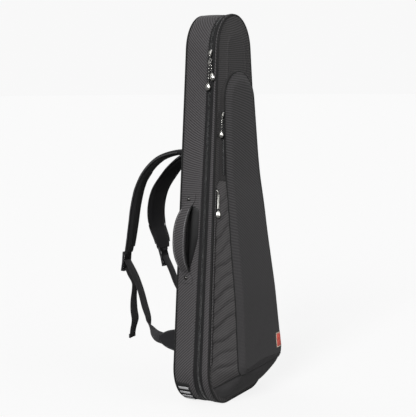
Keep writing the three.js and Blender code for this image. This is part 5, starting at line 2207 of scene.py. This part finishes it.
def pocket_slider():
    """The large pocket's slider on the lid's face, with its long metal tab."""
    z = NECK_POCKET_Z - 20
    x = -half_width(z) + (PIPING_NOTCH + POCKET_INSET) / 2
    flat_up = Vector((math.sin(LEAN), 0, math.cos(LEAN)))
    along = flat_up.cross(Vector((0, -1, 0)))
    up = Vector((flat_up.x, 15 / LENGTH, flat_up.z)).normalized()
    out = along.cross(up)
    turn = Matrix((out, along, up)).transposed().to_4x4()
    wall = Matrix.Translation(Vector((x, lid_front(z) - 2.8, z)) * MM) @ turn
    slider_piece("slider_pocket", (9, 14, 3.6), wall, 0.0, "pocket_slider", "pocket_slider")
    hang = pull_frame(wall, 0) @ Matrix.Rotation(math.radians(-48), 4, "Z")
    tab = block("pull_pocket_tab", 1.8, 5, 38, (0, 0, -21))
    select_faces(tab, lambda face: abs(face.normal.x) > 0.9)
    bpy.ops.mesh.inset(thickness=0.0009, use_individual=True)
    bpy.ops.transform.resize(value=(0.5, 1, 1))
    out_of_edit()
    rounded(tab, 0.4, 2)
    placed(tab, hang)
    handed_over(tab, "pocket_pull", finish("silver"), ["pocket_pull_tab"])
    path = [Vector((0, 0, between(-39, -44, i / 5))) for i in range(6)]
    link = ribbon(
        "pull_pocket_link", path, lambda t: Vector((0, 1, 0)), lambda t: 3.0, lambda t: 2.4,
        pad_section(8, 2.0),
    )
    placed(link, hang)
    handed_over(link, "pocket_pull", finish("webbing"))
    pull_tip("pull_pocket_tip", -42.6, 24, 7, hang, "pocket_pull", "pocket_pull_tip")


# ------------------------------------------------------------------ side handle
def handle_frame():
    return left_side_frame(HANDLE_Z, HANDLE_Y) @ Matrix.Rotation(-HANDLE_TILT, 4, "Z")


def handle_path(stand_off, half, bow, count):
    points = []
    for t in np.linspace(-1, 1, count):
        rise = 1 - abs(t) ** 2.6
        points.append(Vector((stand_off + (bow - stand_off) * rise, 0, t * half)))
    return points


def grip_width(t):
    return between(24, 40, math.sin(math.pi * min(1, max(0, t))) ** 0.6)


class GIGBAG_OT_handle(bpy.types.Operator):
    """Makes the side handle, its palm pad, a dark pad of painted shade under it, and its riveted tabs
    """

    bl_idname = "gigbag.handle"
    bl_label = "Side handle"
    bl_options = {"REGISTER", "UNDO"}

    def execute(self, context):
        path = handle_path(7, HANDLE_HALF, HANDLE_BOW, 41)
        section = [
            (-1, -0.5), (-0.97, -1), (-0.8, -1.05), (-0.4, -1.1), (0, -1.1), (0.4, -1.1), (0.8, -1.05),
            (0.97, -1), (1, -0.5), (1, 0.5), (0.97, 1), (0.86, 1.1), (0.8, 0.85), (0.74, 1.15),
            (0.4, 1.5), (0, 1.6), (-0.4, 1.5), (-0.74, 1.15), (-0.8, 0.85), (-0.86, 1.1), (-0.97, 1),
            (-1, 0.5),
        ]
        section = [(a, -b) for a, b in section]
        frame_of = handle_frame()
        grip = ribbon(
            "grip_cloth", path, lambda t: Vector((0, 1, 0)), grip_width, lambda t: 3.6, section
        )
        placed(grip, frame_of)
        handed_over(grip, "side_handle", finish("ribbed cloth"), ["handle_grip"], 50)
        palm = handle_path(11, HANDLE_HALF - 18, HANDLE_BOW - 8, 31)
        pad = ribbon(
            "palm_pad_soft", palm, lambda t: Vector((0, 1, 0)), lambda t: grip_width(t) - 13,
            lambda t: 2 + 7 * math.sin(math.pi * t), pad_section(16, 2.4),
        )
        placed(pad, frame_of)
        pad = swollen(pad, 1.0, voxel=2.5)
        handed_over(pad, "side_handle", finish("palm lining and painted shade"), ["handle_palm_pad"], 60)
        rows = []
        turn = frame_of.to_3x3()
        out = turn @ Vector((1, 0, 0))
        for edge in (-1, 1):
            points = [
                (frame_of @ ((p + Vector((2.2, edge * (grip_width(i / 40) / 2 * 0.8), 0))) * MM)) / MM
                for i, p in enumerate(path)
            ][2:-2]
            rows.append((points, lambda p: out))
        seam("grip_stitches", rows, "side_handle", finish("pale thread"))
        for number, edge in enumerate((-1, 1)):
            rim = [
                p + Vector((-0.6, edge * (grip_width(i / 40) / 2 + 0.2), 0)) for i, p in enumerate(path)
            ]
            bead = ribbon(
                f"grip_edge_{number}", rim, lambda t: Vector((0, 1, 0)), lambda t: 2.6,
                lambda t: 4.4, pad_section(8, 2.0),
            )
            placed(bead, frame_of)
            handed_over(bead, "side_handle", finish("piping cloth"), (), 60)
        self.shaded_gap_pad()
        for place, sign in (("upper", 1), ("lower", -1)):
            tab_and_rivet(place, sign)
        return {"FINISHED"}

    @staticmethod
    def shaded_gap_pad():
        """A smooth dark leaf-shaped sheet on the wall, in front of the grip: painted shade where the
        handle's opening lies in shadow.
        """
        low, high = HANDLE_Z - 92, HANDLE_Z + 88
        count, rows = 46, 17

        def edges(t):
            z = between(low, high, t)
            front = -9.5 + 24 * max(0, 1 - t / 0.55) ** 1.15
            back = 15 + 11 * ease(t / 0.3)
            cap = ease((1 - t) / 0.07) ** 0.5
            tip = ease(t / 0.08) ** 0.5
            middle = between(front, back, 0.45)
            return z, middle + (front - middle) * cap * tip, middle + (back - middle) * cap * tip

        def place(i, j):
            t = i / (count - 1)
            z, front, back = edges(t)
            share = j / (rows - 1)
            y = between(front, back, share)
            crown = math.sin(math.pi * share**1.25) ** 0.7 * math.sin(math.pi * t) ** 0.5
            out = 1.0 + 6.5 * crown
            return Vector((
                -half_width(z) - out * math.cos(LEAN), y, z + out * math.sin(LEAN)
            ))

        leaf = skin("handle_shaded_gap_pad", count, rows, place, outwards=lambda p: Vector((-1, 0, 0)))
        handed_over(leaf, "root", finish("palm lining and painted shade"), (), 70)


def tab_and_rivet(place, sign):
    """The sewn end of the handle, held to the wall by a rivet."""
    wall = left_side_frame(HANDLE_Z, HANDLE_Y)
    z = sign * RIVET_SPACING / 2
    count = 22
    start, end = z + sign * 15, sign * (HANDLE_HALF - 1)

    def path_at(t):
        along = between(start, end, t)
        lift = 2.6 + 4.6 * ease((t - 0.62) / 0.38)
        return Vector((lift, 0, along))

    path = [path_at(i / (count - 1)) for i in range(count)]
    tab = ribbon(
        f"handle_tab_cloth_{place}", path, lambda t: Vector((0, 1, 0)),
        lambda t: between(37, 24, ease((t - 0.4) / 0.6)), lambda t: 2.0, WEBBING_SECTION,
    )
    placed(tab, wall)
    handed_over(
        tab, "root", finish("ribbed cloth"), [f"handle_tab_{place}"], 40
    )
    clear_selection()
    bpy.ops.mesh.primitive_uv_sphere_add(segments=24, ring_count=12, radius=4.4 * MM)
    rivet = bpy.context.object
    rivet.name = rivet.data.name = f"handle_rivet_head_{place}"
    bpy.ops.object.mode_set(mode="EDIT")
    bpy.ops.mesh.bisect(
        plane_co=(0, 0, 0.4 * MM), plane_no=(0, 0, 1), clear_inner=True, use_fill=True
    )
    bpy.ops.mesh.select_all(action="SELECT")
    bpy.ops.transform.resize(value=(1, 1, 0.5))
    select_faces(rivet, lambda face: face.normal.z < -0.9)
    bpy.ops.mesh.extrude_region_move(TRANSFORM_OT_translate={"value": (0, 0, -0.0008)})
    bpy.ops.transform.resize(value=(1.2, 1.2, 1))
    bpy.ops.mesh.extrude_region_move(TRANSFORM_OT_translate={"value": (0, 0, -0.0008)})
    out_of_edit()
    rounded(rivet, 0.2, 2, 50)
    placed(rivet, wall @ Matrix.Translation(Vector((5.0, 0, z)) * MM) @ Matrix.Rotation(
        math.pi / 2, 4, "Y"
    ))
    handed_over(rivet, "root", finish("dark metal"), [f"handle_rivet_{place}"])


# ------------------------------------------------------------------ the add-on
OPERATORS = (
    GIGBAG_OT_stage,
    GIGBAG_OT_straps,
    GIGBAG_OT_wall,
    GIGBAG_OT_back,
    GIGBAG_OT_main_zip,
    GIGBAG_OT_inside,
    GIGBAG_OT_guards,
    GIGBAG_OT_lid,
    GIGBAG_OT_pockets,
    GIGBAG_OT_pocket_zips,
    GIGBAG_OT_label,
    GIGBAG_OT_sliders,
    GIGBAG_OT_handle,
)


class GIGBAG_PT_bench(bpy.types.Panel):
    """Lists the gig bag's pieces"""

    bl_label = "Gig bag"
    bl_idname = "GIGBAG_PT_bench"
    bl_space_type = "VIEW_3D"
    bl_region_type = "UI"
    bl_category = "Gig Bag"

    def draw(self, context):
        layout = self.layout
        for operator in OPERATORS:
            layout.operator(operator.bl_idname)
        for group in ("gig_bag_shape", "gig_bag_cloth", "gig_bag_view"):
            values = getattr(context.scene, group)
            box = layout.box()
            for key in values.__annotations__:
                box.prop(values, key)


GROUPS = {
    "gig_bag_cloth": GigBagCloth,
    "gig_bag_shape": GigBagShape,
    "gig_bag_view": GigBagView,
}


def register():
    for name, group in GROUPS.items():
        bpy.utils.register_class(group)
        setattr(bpy.types.Scene, name, PointerProperty(type=group))
    for operator in OPERATORS:
        bpy.utils.register_class(operator)
    bpy.utils.register_class(GIGBAG_PT_bench)


def unregister():
    bpy.utils.unregister_class(GIGBAG_PT_bench)
    for operator in reversed(OPERATORS):
        bpy.utils.unregister_class(operator)
    for name, group in GROUPS.items():
        delattr(bpy.types.Scene, name)
        bpy.utils.unregister_class(group)


def main():
    """Builds the whole bag in order."""
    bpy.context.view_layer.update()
    register()
    for operator in OPERATORS:
        getattr(bpy.ops.gigbag, operator.bl_idname.split(".")[1])()


if __name__ == "__main__":
    main()
